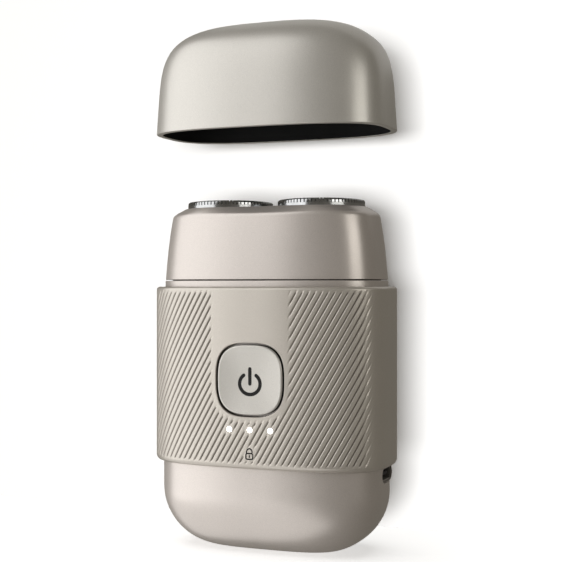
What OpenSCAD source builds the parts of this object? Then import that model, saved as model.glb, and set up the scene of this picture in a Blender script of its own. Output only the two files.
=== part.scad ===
// Compact two-head rotary shaver with a lift-off cap, standing on its foot.
// Origin: centre of the flat foot. +Z is up, the power button faces -Y, +X is the charging side.

/* [Overall] */
// Width of the grip band, the widest part
band_w = 61.8; // [60:0.1:76]
// Depth of the grip band
band_d = 33.6; // [33:0.1:42]
// Height of the grip band
band_h = 44.5; // [44:0.1:60]
// Height of the casing below the grip band
foot_h = 21.5; // [20:0.1:30]
// Squareness of the plan outline, 2 is an ellipse
corner_n = 3.1; // [2.8:0.1:3.6]

/* [Casing] */
// How far the band's outer face stands proud of the casing
band_proud = 1.75; // [1.4:0.05:2.4]
// Wall of the casing
casing_wall = 1.4; // [1.2:0.05:1.8]
// Radius of the lower corners, seen from the front
foot_radius = 15; // [10:0.5:17]
// How far the front and back curve in towards the foot
foot_tuck = 9.5; // [4:0.1:10]
// Bevel on the band's top edge
band_top_bevel = 0.8; // [0.3:0.1:1.2]
// Bevel on the band's bottom edge
band_foot_bevel = 1.4; // [0.3:0.1:1.6]
// Height of the neck strip that shows above the band
neck_h = 1.5; // [1:0.1:3]
// How far the neck and the head unit stand in from the band
neck_inset = 2.15; // [2:0.05:3]

/* [Head unit] */
// Height of the head cover from its seam to its top
cover_h = 18.4; // [18:0.1:24]
// Wall of the head cover
cover_wall = 1.3; // [1:0.05:1.5]
// How far the head cover's sides lean in up to its edge
cover_lean = 1.9; // [1:0.1:2.2]
// Rise of the sloped shoulder above the cover's edge
shoulder_h = 1.9; // [1.8:0.1:3]
// Gap of the seam between the neck and the head cover
seam_gap = 0.25; // [0.15:0.05:0.5]
// Outer diameter of a shaving head
head_d = 22; // [17:0.1:22.2]
// Distance between the two shaving heads
head_gap = 3; // [2.6:0.1:4]
// How far a shaving head stands above the cover
head_stand = 1.9; // [1.4:0.1:2.4]
// How far a shaving head floats down when pressed
float_travel = 1.2; // [0.6:0.1:1.4]
// Number of slots in a shaving head
head_slots = 72; // [48:2:80]
// Width of a slot
slot_w = 0.3; // [0.2:0.05:0.3]
// Number of blades on a cutter
cutter_blades = 15; // [9:1:18]

/* [Cap] */
// Height of the cap
cap_h = 27.5; // [26:0.1:34]
// Wall of the cap's outer shell
cap_wall = 0.9; // [0.7:0.05:1.1]
// Width of the cap's rim
cap_rim = 1.5; // [1.3:0.05:1.6]
// Height of the cap's rim above the grip band while the cap is held off
cap_lift = 39; // [36:0.5:60]

/* [Controls] */
// Width and height of the opening for the power button
button_w = 18; // [14:0.1:21]
// Distance from the band's top to the button's centre
button_drop = 22.7; // [20:0.1:24]
// Gap round the button
button_gap = 0.45; // [0.3:0.05:0.6]
// How far the button travels
button_travel = 0.8; // [0.4:0.1:0.9]
// Diameter of a status light
light_d = 1.5; // [1:0.1:2]
// Distance between status lights
light_pitch = 5.4; // [4:0.1:6]
// Distance from the band's top to the status lights
light_drop = 34.85; // [34:0.05:36]
// Distance from the band's top to the padlock symbol
lock_drop = 40.4; // [39.5:0.1:41]

/* [Drive] */
// Teeth on the motor pinion
pinion_teeth = 12; // [12:1:14]
// Teeth on a drive gear
gear_teeth = 38; // [36:2:40]
// Thickness of a drive gear
gear_t = 2.4; // [2:0.1:2.6]
// Diameter of the motor can
motor_d = 15.5; // [12:0.1:15.5]
// Length of the motor can
motor_len = 20; // [15:0.1:24]
// Diameter of the motor shaft
shaft_d = 2; // [1.5:0.1:2.2]

/* [Power] */
// Diameter of the battery
battery_d = 14; // [10:0.1:14.2]
// Length of the battery
battery_len = 49; // [30:0.1:49]
// Height of the charging port's centre
port_z = 19.4; // [18:0.1:20]
// Distance from the centre plane to the charging port's centre, towards the back
port_y = 2.8; // [0:0.1:3]

/* [Clearances] */
// Gap round a shaft that turns in a bore
run_gap = 0.04; // [0.02:0.01:0.08]
// Gap between pieces that are fitted and stay put
fit_gap = 0.1; // [0.05:0.01:0.15]
// Gap between pieces that slide past each other
slide_gap = 0.15; // [0.1:0.01:0.25]
// Play between meshing gear teeth
tooth_play = 0.1; // [0.06:0.01:0.14]

/* [Hidden] */
$fn = 64;

eps = 0.01;
over = 1;
ring_points = 48;
left = -1;
right = 1;

// Plan half-sizes of the band, the casing and the neck
band_a = band_w / 2;
band_b = band_d / 2;
casing_a = band_a - band_proud;
casing_b = band_b - band_proud;
inside_a = casing_a - casing_wall;
inside_b = casing_b - casing_wall;
neck_a = band_a - neck_inset;
neck_b = band_b - neck_inset;

// Heights of the main joints, from the foot up
band_z0 = foot_h;
band_z1 = foot_h + band_h;
deck_z0 = band_z1 - 1;
deck_t = 1.6;
deck_z1 = deck_z0 + deck_t;
neck_z1 = band_z1 + neck_h;
cover_z0 = neck_z1 + seam_gap;
cover_z1 = neck_z1 + cover_h;
edge_z = cover_z1 - shoulder_h;
head_z1 = cover_z1 + head_stand;
cap_z0 = band_z1 + cap_lift;

// Shaving heads
head_r = head_d / 2;
head_x = (head_d + head_gap) / 2;
head_skin = 1.05;
head_wall = 0.7;
head_hole_r = head_r * 0.51;
flange_r = head_r + 0.7;
flange_t = 0.8;
flange_z1 = head_z1 - 4.1;
flange_z0 = flange_z1 - flange_t;
holder_z0 = flange_z0 - 1.6;
shoulder_rim = 0.45;
shoulder_dip = 0.9;

// Gear train: the pinion sits between the two drive gears
gear_module = 2 * head_x / (pinion_teeth + gear_teeth);
pressure_angle = 25;
addendum = 0.9;
dedendum = 1.15;
half_tooth = 180 / gear_teeth;
plate_t = 1.8;
chamber_h = 5.4;
plate_z1 = deck_z0 - chamber_h;
plate_z0 = plate_z1 - plate_t;
gear_z0 = plate_z1 + 1;
gear_z1 = gear_z0 + gear_t;
shaft_r = shaft_d / 2;
axle_r = 1;
hub_r = 2.6;
hub_z1 = neck_z1 + 0.1;
hex_r = 2.5;
hex_z1 = hub_z1 + 3.6;
spring_well_r = 1.6;

// Spindles and cutters, from the hub up
spindle_r = 3.5;
spindle_hex_r = hex_r + 0.2;
spindle_z0 = hub_z1 + float_travel + 0.6;
spindle_ceiling = hex_z1 + float_travel + 1.8;
spindle_cap_z = spindle_ceiling + 1;
tip_r = 1.9;
tip_z1 = spindle_cap_z + 3.2;
socket_r = tip_r + 0.25;
carrier_z0 = spindle_cap_z + 0.4;
carrier_r = 3.3;
carrier_disc_z0 = holder_z0 - 1.3;
blade_z0 = holder_z0 + 0.1;
blade_ring_t = 0.7;
blade_z1 = head_z1 - head_skin - 0.1;
blade_r = head_r - head_wall - 0.7;
blade_w = blade_r * 0.27;
pivot_r = 1.5;
pivot_z1 = flange_z1 + 1.3;
frame_t = 1.8;
frame_z1 = holder_z0 - float_travel - 0.3;
frame_z0 = frame_z1 - frame_t;

// Deck screws stand outside the gears
screw_x = inside_a * 0.79;
screw_y = inside_b * 0.56;
screw_r = 0.95;
screw_head_r = 1.8;
post_r = 1.9;
spigot_h = 1.6;

// Deck skirt with the groove for its gasket
skirt_z0 = deck_z0 - 2.6;
skirt_groove_z0 = skirt_z0 + 0.7;
skirt_groove_z1 = skirt_groove_z0 + 1.2;
skirt_groove_depth = 0.5;

// Motor
motor_r = motor_d / 2;
motor_z0 = plate_z0 - motor_len;
end_cap_t = 2;
motor_wall = 0.6;
motor_screw_y = 5.5;
bushing_r = 2.5;
armature_r = motor_r - motor_wall - 1.75;

// Button, board and lights
button_z = band_z1 - button_drop;
recess_depth = 0.8;
recess_y = -casing_b + recess_depth;
button_front = -band_b + 0.06;
button_back = recess_y - button_travel - slide_gap;
plunger_r = 2.5;
button_n = 2.9;
symbol_depth = 0.25;
symbol_z = button_z - 0.95;
symbol_r = 3;
symbol_stroke = 0.84;
light_z = band_z1 - light_drop;
lock_z = band_z1 - lock_drop;
board_t = 1;
board_half_w = inside_a * 0.75;
board_y = -depth_at(inside_a, inside_b, board_half_w) + 0.86;
board_z0 = light_z - 7;
board_z1 = min(button_z + 11, plate_z0 - 3);
switch_h = 1.7;
plunger_y = board_y - switch_h - button_travel - 0.1;

// Battery and chassis
battery_r = battery_d / 2;
battery_x = -motor_r - battery_r - 1.85;
battery_z1 = plate_z0 - 2.8;
battery_z0 = battery_z1 - battery_len;
spine_t = 1.4;
spine_half_w = inside_a * 0.67;
spine_y = depth_at(inside_a, inside_b, spine_half_w) - spine_t - 0.35;
spine_z0 = 14;
post_places = [[-6, board_z0 + 3], [board_half_w - 2, board_z0 + 3], [board_half_w - 2, board_z1 - 3]];

// Charging port
port_h = 3.26;
port_w = 8.94;
port_len = 7.3;
port_x1 = casing_a - 0.7;
port_x0 = port_x1 - port_len;

// Depth of the plan outline at a distance x from the middle
function depth_at(a, b, x) = b * pow(1 - pow(x / a, corner_n), 1 / corner_n);

// Superellipse with half-widths a and b
function outline(a, b, n = corner_n, count = ring_points) = [
    for (i = [0:count - 1])
        let (t = 360 * i / count, c = cos(t), s = sin(t))
        [a * sign(c) * pow(abs(c), 2 / n), b * sign(s) * pow(abs(s), 2 / n)]
];
function ring(a, b, z) = [for (p = outline(a, b)) [p.x, p.y, z]];

// Outline round both shaving heads, a little pinched between them
function heads_depth(x, r) =
    abs(x) > head_x ? sqrt(max(0, r * r - pow(abs(x) - head_x, 2)))
                    : r - shoulder_dip * pow(cos(90 * x / head_x), 2);
function heads_ring(r, z) = [
    for (p = outline(head_x + r, r)) [p.x, sign(p.y) * heads_depth(p.x, r), z]
];
function blend_rings(lower, upper, k, z) = [
    for (i = [0:len(lower) - 1])
        [lower[i].x + (upper[i].x - lower[i].x) * k, lower[i].y + (upper[i].y - lower[i].y) * k, z]
];

// Skin over a stack of rings; the first ring is closed facing down and the last facing up
module loft(rings) {
    count = len(rings[0]);
    last = len(rings) - 1;
    sides = [
        for (k = [0:last - 1], i = [0:count - 1])
            let (j = (i + 1) % count, low = k * count, high = low + count)
            each [[low + i, high + i, high + j], [low + i, high + j, low + j]]
    ];
    bottom = [for (i = [0:count - 1]) i];
    top = [for (i = [count - 1:-1:0]) last * count + i];
    polyhedron([for (r = rings) each r], concat([bottom], sides, [top]), convexity = 8);
}

// Skin over rings that close on themselves
module ring_tube(rings) {
    count = len(rings[0]);
    total = len(rings);
    sides = [
        for (k = [0:total - 1], i = [0:count - 1])
            let (j = (i + 1) % count, low = k * count, high = ((k + 1) % total) * count)
            each [[low + i, high + i, high + j], [low + i, high + j, low + j]]
    ];
    polyhedron([for (r = rings) each r], sides, convexity = 8);
}

// Upright slab of the plan outline
module slab(a, b, z0, z1) {
    translate([0, 0, z0]) linear_extrude(z1 - z0) polygon(outline(a, b));
}

// Rod along Z
module rod(r, z0, z1, x = 0, y = 0) {
    translate([x, y, z0]) cylinder(r = r, h = z1 - z0);
}

// Rod along Y, from y0 back to y1
module rod_y(r, y0, y1, x, z) {
    translate([x, y1, z]) rotate([90, 0, 0]) cylinder(r = r, h = y1 - y0);
}

// Tube along Z
module tube(outer, inner, z0, z1, x = 0, y = 0) {
    difference() {
        rod(outer, z0, z1, x, y);
        rod(inner, z0 - over, z1 + over, x, y);
    }
}

// Hexagonal bar along Z
module hex_bar(r, z0, z1) {
    translate([0, 0, z0]) linear_extrude(z1 - z0) circle(r = r, $fn = 6);
}

// Box from one corner to the other
module block(low, high) {
    translate(low) cube(high - low);
}

// Square with soft corners, standing in the XZ plane, from y0 back to y1
module soft_square(w, y0, y1, z) {
    translate([0, y1, z]) rotate([90, 0, 0]) linear_extrude(y1 - y0)
        polygon(outline(w / 2, w / 2, button_n, 40));
}

// Flat slot with round ends, lying along Y, from x0 to x1
module slot_bar(w, h, x0, x1) {
    reach = (w - h) / 2;
    translate([0, port_y, port_z]) {
        for (side = [-1, 1])
            translate([x0, side * reach, 0]) rotate([0, 90, 0]) cylinder(r = h / 2, h = x1 - x0);
        block([x0, -reach, -h / 2], [x1, reach, h / 2]);
    }
}

// Pan-head screw with its head on the plane z and its shank down
module screw(x, y, z, len) {
    rod(screw_head_r, z, z + 1, x, y);
    rod(screw_r, z - len, z + eps, x, y);
}

// Casing: a deep cup with rounded lower corners
function casing_ring(wall, angle) =
    let (r = foot_radius - wall, tuck = foot_tuck * r / foot_radius, gone = 1 - sin(angle))
    ring(casing_a - wall - r * gone, casing_b - wall - tuck * gone, foot_radius - r * cos(angle));

module casing() {
    outside = concat([for (angle = [0:15:90]) casing_ring(0, angle)], [ring(casing_a, casing_b, deck_z0)]);
    inside = concat(
        [ring(inside_a, inside_b, deck_z0)],
        [for (angle = [90:-18:0]) casing_ring(casing_wall, angle)]
    );
    color("#d6ccc4") difference() {
        loft(concat(outside, inside));
        soft_square(button_w, -casing_b - over, recess_y, button_z);
        rod_y(plunger_r + slide_gap, -band_b, -inside_b + over, 0, button_z);
        for (i = [-1:1])
            rod_y(light_d / 2 + fit_gap / 2, -band_b, -inside_b + over, i * light_pitch, light_z);
        slot_bar(port_w + 0.7, port_h + 0.6, inside_a - 2, casing_a + over);
    }
}

// Grip band: a bevelled sleeve round the casing
module grip_band() {
    bore_a = casing_a + fit_gap / 2;
    bore_b = casing_b + fit_gap / 2;
    low = band_foot_bevel;
    high = band_top_bevel;
    color("#b9b0a6") difference() {
        ring_tube([
            ring(bore_a, bore_b, band_z0),
            ring(band_a - low, band_b - low, band_z0),
            ring(band_a, band_b, band_z0 + low),
            ring(band_a, band_b, band_z1 - high),
            ring(band_a - high, band_b - high, band_z1),
            ring(bore_a, bore_b, band_z1)
        ]);
        soft_square(button_w, -band_b - over, 0, button_z);
        for (i = [-1:1]) rod_y(light_d / 2 + fit_gap / 2, -band_b - over, 0, i * light_pitch, light_z);
        padlock(-band_b - over, -band_b + symbol_depth + 0.05, fit_gap / 2);
    }
}

// Padlock outline: a rounded body with a shackle, grown by spare
module padlock(y0, y1, spare) {
    body_w = 2.1;
    body_h = 1.7;
    line = 0.32;
    translate([0, y1, lock_z]) rotate([90, 0, 0]) linear_extrude(y1 - y0) {
        difference() {
            translate([0, -body_h / 2]) square([body_w + 2 * spare, body_h + 2 * spare], center = true);
            translate([0, -body_h / 2])
                square([body_w - 2 * line - 2 * spare, body_h - 2 * line - 2 * spare], center = true);
        }
        difference() {
            translate([0, 0.45]) circle(r = 0.72 + spare);
            translate([0, 0.45]) circle(r = 0.72 - line - spare);
            translate([-over, -over]) square([2 * over, over]);
        }
    }
}

module lock_symbol() {
    color("#4a423c") padlock(-band_b + 0.05, -band_b + symbol_depth, 0);
}

// Three clear rods from the lamps to the band's face
module light_pipes() {
    color("#f4f6f8") for (i = [-1:1])
        rod_y(light_d / 2, -band_b + 0.07, board_y - 1.2, i * light_pitch, light_z);
}

// Top deck: closes the casing, carries the neck strip and the spigot for the head unit
module top_deck() {
    skirt_a = inside_a - slide_gap;
    skirt_b = inside_b - slide_gap;
    spigot_in = cover_wall + slide_gap + cover_lean * 0.1;
    spigot_a = neck_a - spigot_in;
    spigot_b = neck_b - spigot_in;
    color("#8d857d") difference() {
        union() {
            difference() {
                slab(neck_a, neck_b, deck_z0, neck_z1);
                slab(spigot_a - 1, spigot_b - 1, deck_z1, neck_z1 + over);
            }
            difference() {
                slab(spigot_a, spigot_b, deck_z1, neck_z1 + spigot_h);
                slab(spigot_a - 1, spigot_b - 1, deck_z1 - over, neck_z1 + spigot_h + over);
            }
            difference() {
                slab(skirt_a, skirt_b, skirt_z0, deck_z0);
                slab(skirt_a - 1.5, skirt_b - 1.5, skirt_z0 - over, deck_z0 + over);
                difference() {
                    slab(skirt_a + over, skirt_b + over, skirt_groove_z0, skirt_groove_z1);
                    slab(
                        skirt_a - skirt_groove_depth, skirt_b - skirt_groove_depth,
                        skirt_groove_z0 - over, skirt_groove_z1 + over
                    );
                }
            }
            for (x = [-screw_x, screw_x], y = [-screw_y, screw_y]) rod(post_r, plate_z1, deck_z0 + eps, x, y);
            for (side = [left, right]) rod(5, deck_z1 - eps, neck_z1 - 0.2, side * head_x);
        }
        for (x = [-screw_x, screw_x], y = [-screw_y, screw_y]) {
            rod(screw_r + fit_gap, plate_z1 - over, deck_z1 + over, x, y);
            rod(screw_head_r + fit_gap, deck_z1, neck_z1 + spigot_h + over, x, y);
        }
        for (side = [left, right]) {
            rod(hub_r + 0.25, deck_z0 - over, neck_z1 + over, side * head_x);
            rod(4 + fit_gap / 2, neck_z1 - 1.2, neck_z1 + over, side * head_x);
        }
    }
}

module deck_gasket() {
    outer = 0.05;
    inner = slide_gap + skirt_groove_depth - 0.05;
    color("#3a3f44") difference() {
        slab(inside_a - outer, inside_b - outer, skirt_groove_z0 + fit_gap, skirt_groove_z1 - fit_gap);
        slab(inside_a - inner, inside_b - inner, skirt_groove_z0 - over, skirt_groove_z1 + over);
    }
}

module deck_screws() {
    color("#9aa0a6") for (x = [-screw_x, screw_x], y = [-screw_y, screw_y])
        screw(x, y, deck_z1, deck_z1 - plate_z0 + 2.6);
}

module spindle_seals() {
    color("#2c2c2e") for (side = [left, right])
        tube(4, hub_r + 0.06, neck_z1 - 1.2, neck_z1 - 0.25, side * head_x);
}

// Gear plate: carries the motor, the gear axles and the deck's screw bosses
module gear_plate() {
    color("#6f7276") difference() {
        union() {
            slab(inside_a - 0.5, inside_b - 0.5, plate_z0, plate_z1);
            for (x = [-screw_x, screw_x], y = [-screw_y, screw_y])
                rod(post_r, plate_z0 - 3.2, plate_z0 + eps, x, y);
        }
        for (x = [-screw_x, screw_x], y = [-screw_y, screw_y])
            rod(screw_r + 0.02, plate_z0 - 3.2 - over, plate_z1 + over, x, y);
        for (side = [left, right])
            rod(axle_r + 0.01, plate_z0 - over, plate_z1 + over, side * head_x);
        for (y = [-motor_screw_y, motor_screw_y]) rod(0.85, plate_z0 - over, plate_z1 + over, 0, y);
        rod(bushing_r + fit_gap, plate_z0 - over, plate_z1 + over);
    }
}

module gear_axles() {
    color("#b8bcc0") for (side = [left, right]) rod(axle_r, plate_z0, hub_z1 - 0.6, side * head_x);
}

// Involute tooth form: how far the flank has turned at radius r, in degrees
function flank_turn(r, base_r) =
    let (a = acos(min(1, base_r / r))) tan(a) * 180 / PI - a;
function gear_outline(teeth) =
    let (
        pitch_r = teeth * gear_module / 2,
        base_r = pitch_r * cos(pressure_angle),
        root_r = pitch_r - dedendum * gear_module,
        tip_r = pitch_r + addendum * gear_module,
        play = tooth_play / 2 / pitch_r * 180 / PI,
        half = 90 / teeth - play + flank_turn(pitch_r, base_r),
        start_r = max(base_r, root_r),
        radii = concat([root_r], [for (k = [0:3]) start_r + eps + (tip_r - start_r - eps) * k / 3]),
        turns = [for (r = radii) half - flank_turn(max(r, base_r), base_r)],
        last = len(radii) - 1
    )
    [
        for (i = [0:teeth - 1])
            let (middle = 360 * i / teeth)
            each concat(
                [for (k = [0:last]) radii[k] * [cos(middle - turns[k]), sin(middle - turns[k])]],
                [for (k = [last:-1:0]) radii[k] * [cos(middle + turns[k]), sin(middle + turns[k])]]
            )
    ];

module drive_pinion() {
    color("#c9b27a") difference() {
        translate([0, 0, gear_z0 - 0.2]) linear_extrude(gear_t + 0.4) polygon(gear_outline(pinion_teeth));
        rod(shaft_r + 0.01, gear_z0 - over, gear_z1 + over);
    }
}

// Drive gear with its hub: a gap between teeth faces the pinion at rest
module drive_gear(side) {
    translate([side * head_x, 0, 0]) color("#e8e4d8") difference() {
        union() {
            rotate([0, 0, half_tooth])
                translate([0, 0, gear_z0]) linear_extrude(gear_t) polygon(gear_outline(gear_teeth));
            rod(2.2, plate_z1 + 0.05, gear_z0 + eps);
            rod(hub_r, gear_z1 - eps, hub_z1);
            hex_bar(hex_r, hub_z1 - eps, hex_z1);
        }
        rod(axle_r + run_gap, plate_z1 - over, hub_z1 - 0.4);
        rod(spring_well_r, hub_z1 - 0.4, hex_z1 + over);
    }
}
module drive_gear_left() { drive_gear(left); }
module drive_gear_right() { drive_gear(right); }

// Compression spring between the hub's well and the spindle's ceiling
module spindle_spring(side) {
    turns = 6;
    steps = 10;
    sides = 6;
    wire_r = 0.16;
    coil_r = 1.2;
    z0 = hub_z1 - 0.4 + wire_r + 0.02;
    z1 = spindle_ceiling - wire_r - 0.02;
    rings = [
        for (k = [0:turns * steps])
            let (a = 360 * k / steps, z = z0 + (z1 - z0) * k / (turns * steps))
            [for (j = [0:sides - 1])
                let (out = coil_r + wire_r * cos(360 * j / sides))
                [out * cos(a), out * sin(a), z - wire_r * sin(360 * j / sides)]]
    ];
    translate([side * head_x, 0, 0]) color("#a9adb1") loft(rings);
}
module spindle_spring_left() { spindle_spring(left); }
module spindle_spring_right() { spindle_spring(right); }

// Spindle: a sleeve on the hub's hexagon with the driving tip on top
module spindle(side) {
    translate([side * head_x, 0, 0]) color("#3b3e42") difference() {
        union() {
            rod(spindle_r, spindle_z0, spindle_cap_z);
            hex_bar(tip_r, spindle_cap_z - eps, tip_z1);
        }
        hex_bar(spindle_hex_r, spindle_z0 - over, spindle_ceiling);
    }
}
module spindle_left() { spindle(left); }
module spindle_right() { spindle(right); }

// Motor
module motor_can() {
    color("#b4b8bc") difference() {
        rod(motor_r, motor_z0, plate_z0);
        rod(motor_r - motor_wall, motor_z0 - over, plate_z0 - 1);
        rod(bushing_r - 0.6, motor_z0, plate_z0 + over);
        for (y = [-motor_screw_y, motor_screw_y]) rod(0.75, plate_z0 - 2, plate_z0 + over, 0, y);
    }
}

module motor_magnets() {
    color("#4b4d50") difference() {
        tube(motor_r - motor_wall - 0.02, armature_r + 0.35, motor_z0 + 2.5, plate_z0 - 3);
        for (side = [-1, 1])
            block([-1.2, side * motor_r - motor_r, motor_z0], [1.2, side * motor_r + motor_r, plate_z0]);
    }
}

module motor_bushing() {
    color("#b58a4a") tube(bushing_r - 0.62, shaft_r + run_gap, plate_z0 - 1.6, plate_z0 + 0.9);
}

module motor_end_cap() {
    color("#2a2a2c") difference() {
        union() {
            rod(motor_r, motor_z0 - end_cap_t, motor_z0);
            rod(motor_r - motor_wall - 0.05, motor_z0 - eps, motor_z0 + 1.2);
        }
        rod(shaft_r + run_gap, motor_z0 - end_cap_t - over, motor_z0 + 2);
    }
    color("#c8a050") for (side = [-1, 1])
        block([side * 4 - 1, -0.2, motor_z0 - end_cap_t - 2.4], [side * 4 + 1, 0.2, motor_z0 - end_cap_t]);
}

module motor_screws() {
    color("#9aa0a6") for (y = [-motor_screw_y, motor_screw_y]) {
        rod(1.4, plate_z1, plate_z1 + 0.7, 0, y);
        rod(0.74, plate_z0 - 1.8, plate_z1 + eps, 0, y);
    }
}

module motor_shaft() {
    color("#c3c7cb") rod(shaft_r, motor_z0 - end_cap_t + 0.5, gear_z1 + 0.5);
}

module motor_armature() {
    color("#7a4a2e") difference() {
        rod(armature_r, motor_z0 + 3.5, plate_z0 - 4);
        rod(shaft_r + 0.01, motor_z0, plate_z0);
        for (turn = [0, 120, 240]) rotate([0, 0, turn])
            block([armature_r * 0.45, -0.6, motor_z0], [armature_r + over, 0.6, plate_z0]);
    }
}

// Chassis: a spine with cradles for the battery, posts for the board and a ledge for the port
module chassis() {
    color("#55585c") difference() {
        union() {
            block([-spine_half_w, spine_y, spine_z0], [spine_half_w, spine_y + spine_t, plate_z0]);
            for (z = [spine_z0 + 4, plate_z0 - 14]) {
                rod(battery_r + 1.1, z, z + 2.4, battery_x);
                block([battery_x - 2, battery_r, z], [battery_x + 2, spine_y + eps, z + 2.4]);
            }
            for (p = post_places) rod_y(1.3, board_y + board_t, spine_y + eps, p.x, p.y);
            block([10, port_y + 3, port_z - 4.4], [spine_half_w, spine_y + eps, port_z - port_h / 2 - 0.9]);
        }
        rod(battery_r + 0.05, 0, plate_z0, battery_x);
        for (p = post_places) rod_y(0.65, board_y, board_y + 5, p.x, p.y);
    }
}

module battery() {
    color("#3f7f8f") {
        rod(battery_r, battery_z0, battery_z1 - 1, battery_x);
        rod(battery_r * 0.38, battery_z1 - 1 - eps, battery_z1, battery_x);
    }
}

module battery_tabs() {
    color("#c7c9cc") {
        block([battery_x - 2.5, -2.5, battery_z0 - 0.2], [battery_x + 2.5, 2.5, battery_z0]);
        block([battery_x - 2.5, -2.5, battery_z1], [battery_x + 2.5, 2.5, battery_z1 + 0.2]);
    }
}

module circuit_board() {
    color("#1f5c46") difference() {
        block([-board_half_w, board_y, board_z0], [board_half_w, board_y + board_t, board_z1]);
        for (p = post_places) rod_y(0.95, board_y - over, board_y + 2, p.x, p.y);
    }
}

module board_screws() {
    color("#9aa0a6") for (p = post_places) {
        rod_y(1.5, board_y - 0.8, board_y, p.x, p.y);
        rod_y(0.64, board_y - eps, board_y + board_t + 3, p.x, p.y);
    }
}

module tact_switch() {
    color("#8c9094") block([-3, board_y - switch_h + 0.5, button_z - 3], [3, board_y, button_z + 3]);
    color("#222222") rod_y(1.6, board_y - switch_h, board_y - switch_h + 0.5 + eps, 0, button_z);
}

module status_leds() {
    color("#f8f4d8") for (i = [-1:1])
        block([i * light_pitch - 0.8, board_y - 0.7, light_z - 0.5], [i * light_pitch + 0.8, board_y, light_z + 0.5]);
}

// Rubber sleeve behind the wall, round the button's plunger
module button_seal() {
    wall_y = -inside_b + 0.12;
    color("#2c2c2e") difference() {
        rod_y(4, wall_y, wall_y + 0.7, 0, button_z);
        rod_y(plunger_r + 0.08, wall_y - over, wall_y + over, 0, button_z);
    }
}

module port_board() {
    color("#1f5c46") block(
        [casing_a - 14, port_y - 5.2, port_z - port_h / 2 - 0.85],
        [inside_a - 2.4, port_y + 5.2, port_z - port_h / 2 - 0.05]
    );
}

module port_shell() {
    color("#b9bdc1") difference() {
        slot_bar(port_w, port_h, port_x0, port_x1);
        slot_bar(port_w - 0.6, port_h - 0.6, port_x0 + 0.8, port_x1 + over);
    }
}

module port_tongue() {
    color("#1c1c1e") translate([0, port_y, port_z])
        block([port_x0 + 0.8, -3.3, -0.35], [port_x1 - 0.6, 3.3, 0.35]);
}

module port_gasket() {
    color("#2c2c2e") difference() {
        slot_bar(port_w + 0.62, port_h + 0.52, inside_a + 0.15, casing_a - 0.45);
        slot_bar(port_w + 0.1, port_h + 0.1, 0, casing_a + over);
    }
}

// Power button: a soft square cap on a plunger
module power_button() {
    color("#cfc5bc") difference() {
        union() {
            soft_square(button_w - 2 * button_gap, button_front, button_back, button_z);
            rod_y(plunger_r, button_back - eps, plunger_y, 0, button_z);
        }
        power_mark(button_front - over, button_front + symbol_depth + 0.05, 0.04);
    }
}

// Power sign: an open ring and a bar, grown by spare
module power_mark(y0, y1, spare) {
    gap_angle = 33;
    translate([0, y1, symbol_z]) rotate([90, 0, 0]) {
        difference() {
            rod(symbol_r + spare, 0, y1 - y0);
            rod(symbol_r - symbol_stroke - spare, -over, y1 - y0 + over);
            rotate([0, 0, 90]) linear_extrude(4 * over)
                polygon([[0, 0], 6 * [cos(gap_angle), -sin(gap_angle)], 6 * [cos(gap_angle), sin(gap_angle)]]);
        }
        block(
            [-symbol_stroke / 2 - spare, -0.3 - spare, 0],
            [symbol_stroke / 2 + spare, 4.05 + spare, y1 - y0]
        );
    }
}

module power_symbol() {
    color("#3a332e") power_mark(button_front + 0.03, button_front + symbol_depth, 0);
}

// Head cover: a hollow loft with a crisp edge and a shoulder up to the shaving heads
module head_cover() {
    lean_a = neck_a - cover_lean;
    lean_b = neck_b - cover_lean * 0.5;
    top_r = head_r + slide_gap + shoulder_rim;
    edge = ring(lean_a - 0.35, lean_b - 0.15, edge_z);
    crown = heads_ring(top_r, cover_z1);
    inner_a = neck_a - cover_wall;
    inner_b = neck_b - cover_wall;
    ceiling_z = edge_z - 1.1;
    color("#d9cdc5") difference() {
        loft([
            ring(inner_a - cover_lean - 0.3, inner_b - cover_lean * 0.5 - 0.2, ceiling_z),
            ring(inner_a - cover_lean * 0.8, inner_b - cover_lean * 0.4, ceiling_z - 3),
            ring(inner_a, inner_b, cover_z0),
            ring(neck_a, neck_b, cover_z0),
            ring(neck_a - cover_lean * 0.18, neck_b - cover_lean * 0.09, cover_z0 + 4),
            ring(neck_a - cover_lean * 0.78, neck_b - cover_lean * 0.39, edge_z - 3),
            ring(lean_a - 0.1, lean_b - 0.03, edge_z - 0.8),
            edge,
            blend_rings(edge, crown, 0.3, edge_z + shoulder_h * 0.38),
            blend_rings(edge, crown, 0.7, edge_z + shoulder_h * 0.78),
            crown
        ]);
        for (side = [left, right]) {
            rod(head_r + slide_gap, ceiling_z - over, cover_z1 + over, side * head_x);
            rod(flange_r + slide_gap, ceiling_z - over, flange_z1 + slide_gap, side * head_x);
        }
    }
}

// Retaining frame: holds both shaving heads up in the cover
module retaining_frame() {
    frame_a = neck_a - cover_wall - cover_lean - 0.1;
    frame_b = neck_b - cover_wall - cover_lean * 0.5 - 0.1;
    color("#4a4d51") difference() {
        union() {
            slab(frame_a, frame_b, frame_z0, frame_z1);
            for (side = [-1, 1])
                block([side * (frame_a - 1) - 0.6, -3, frame_z0 - 4], [side * (frame_a - 1) + 0.6, 3, frame_z0 + eps]);
        }
        for (side = [left, right]) rod(head_r - 1.4, frame_z0 - over, frame_z1 + over, side * head_x);
    }
}

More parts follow.
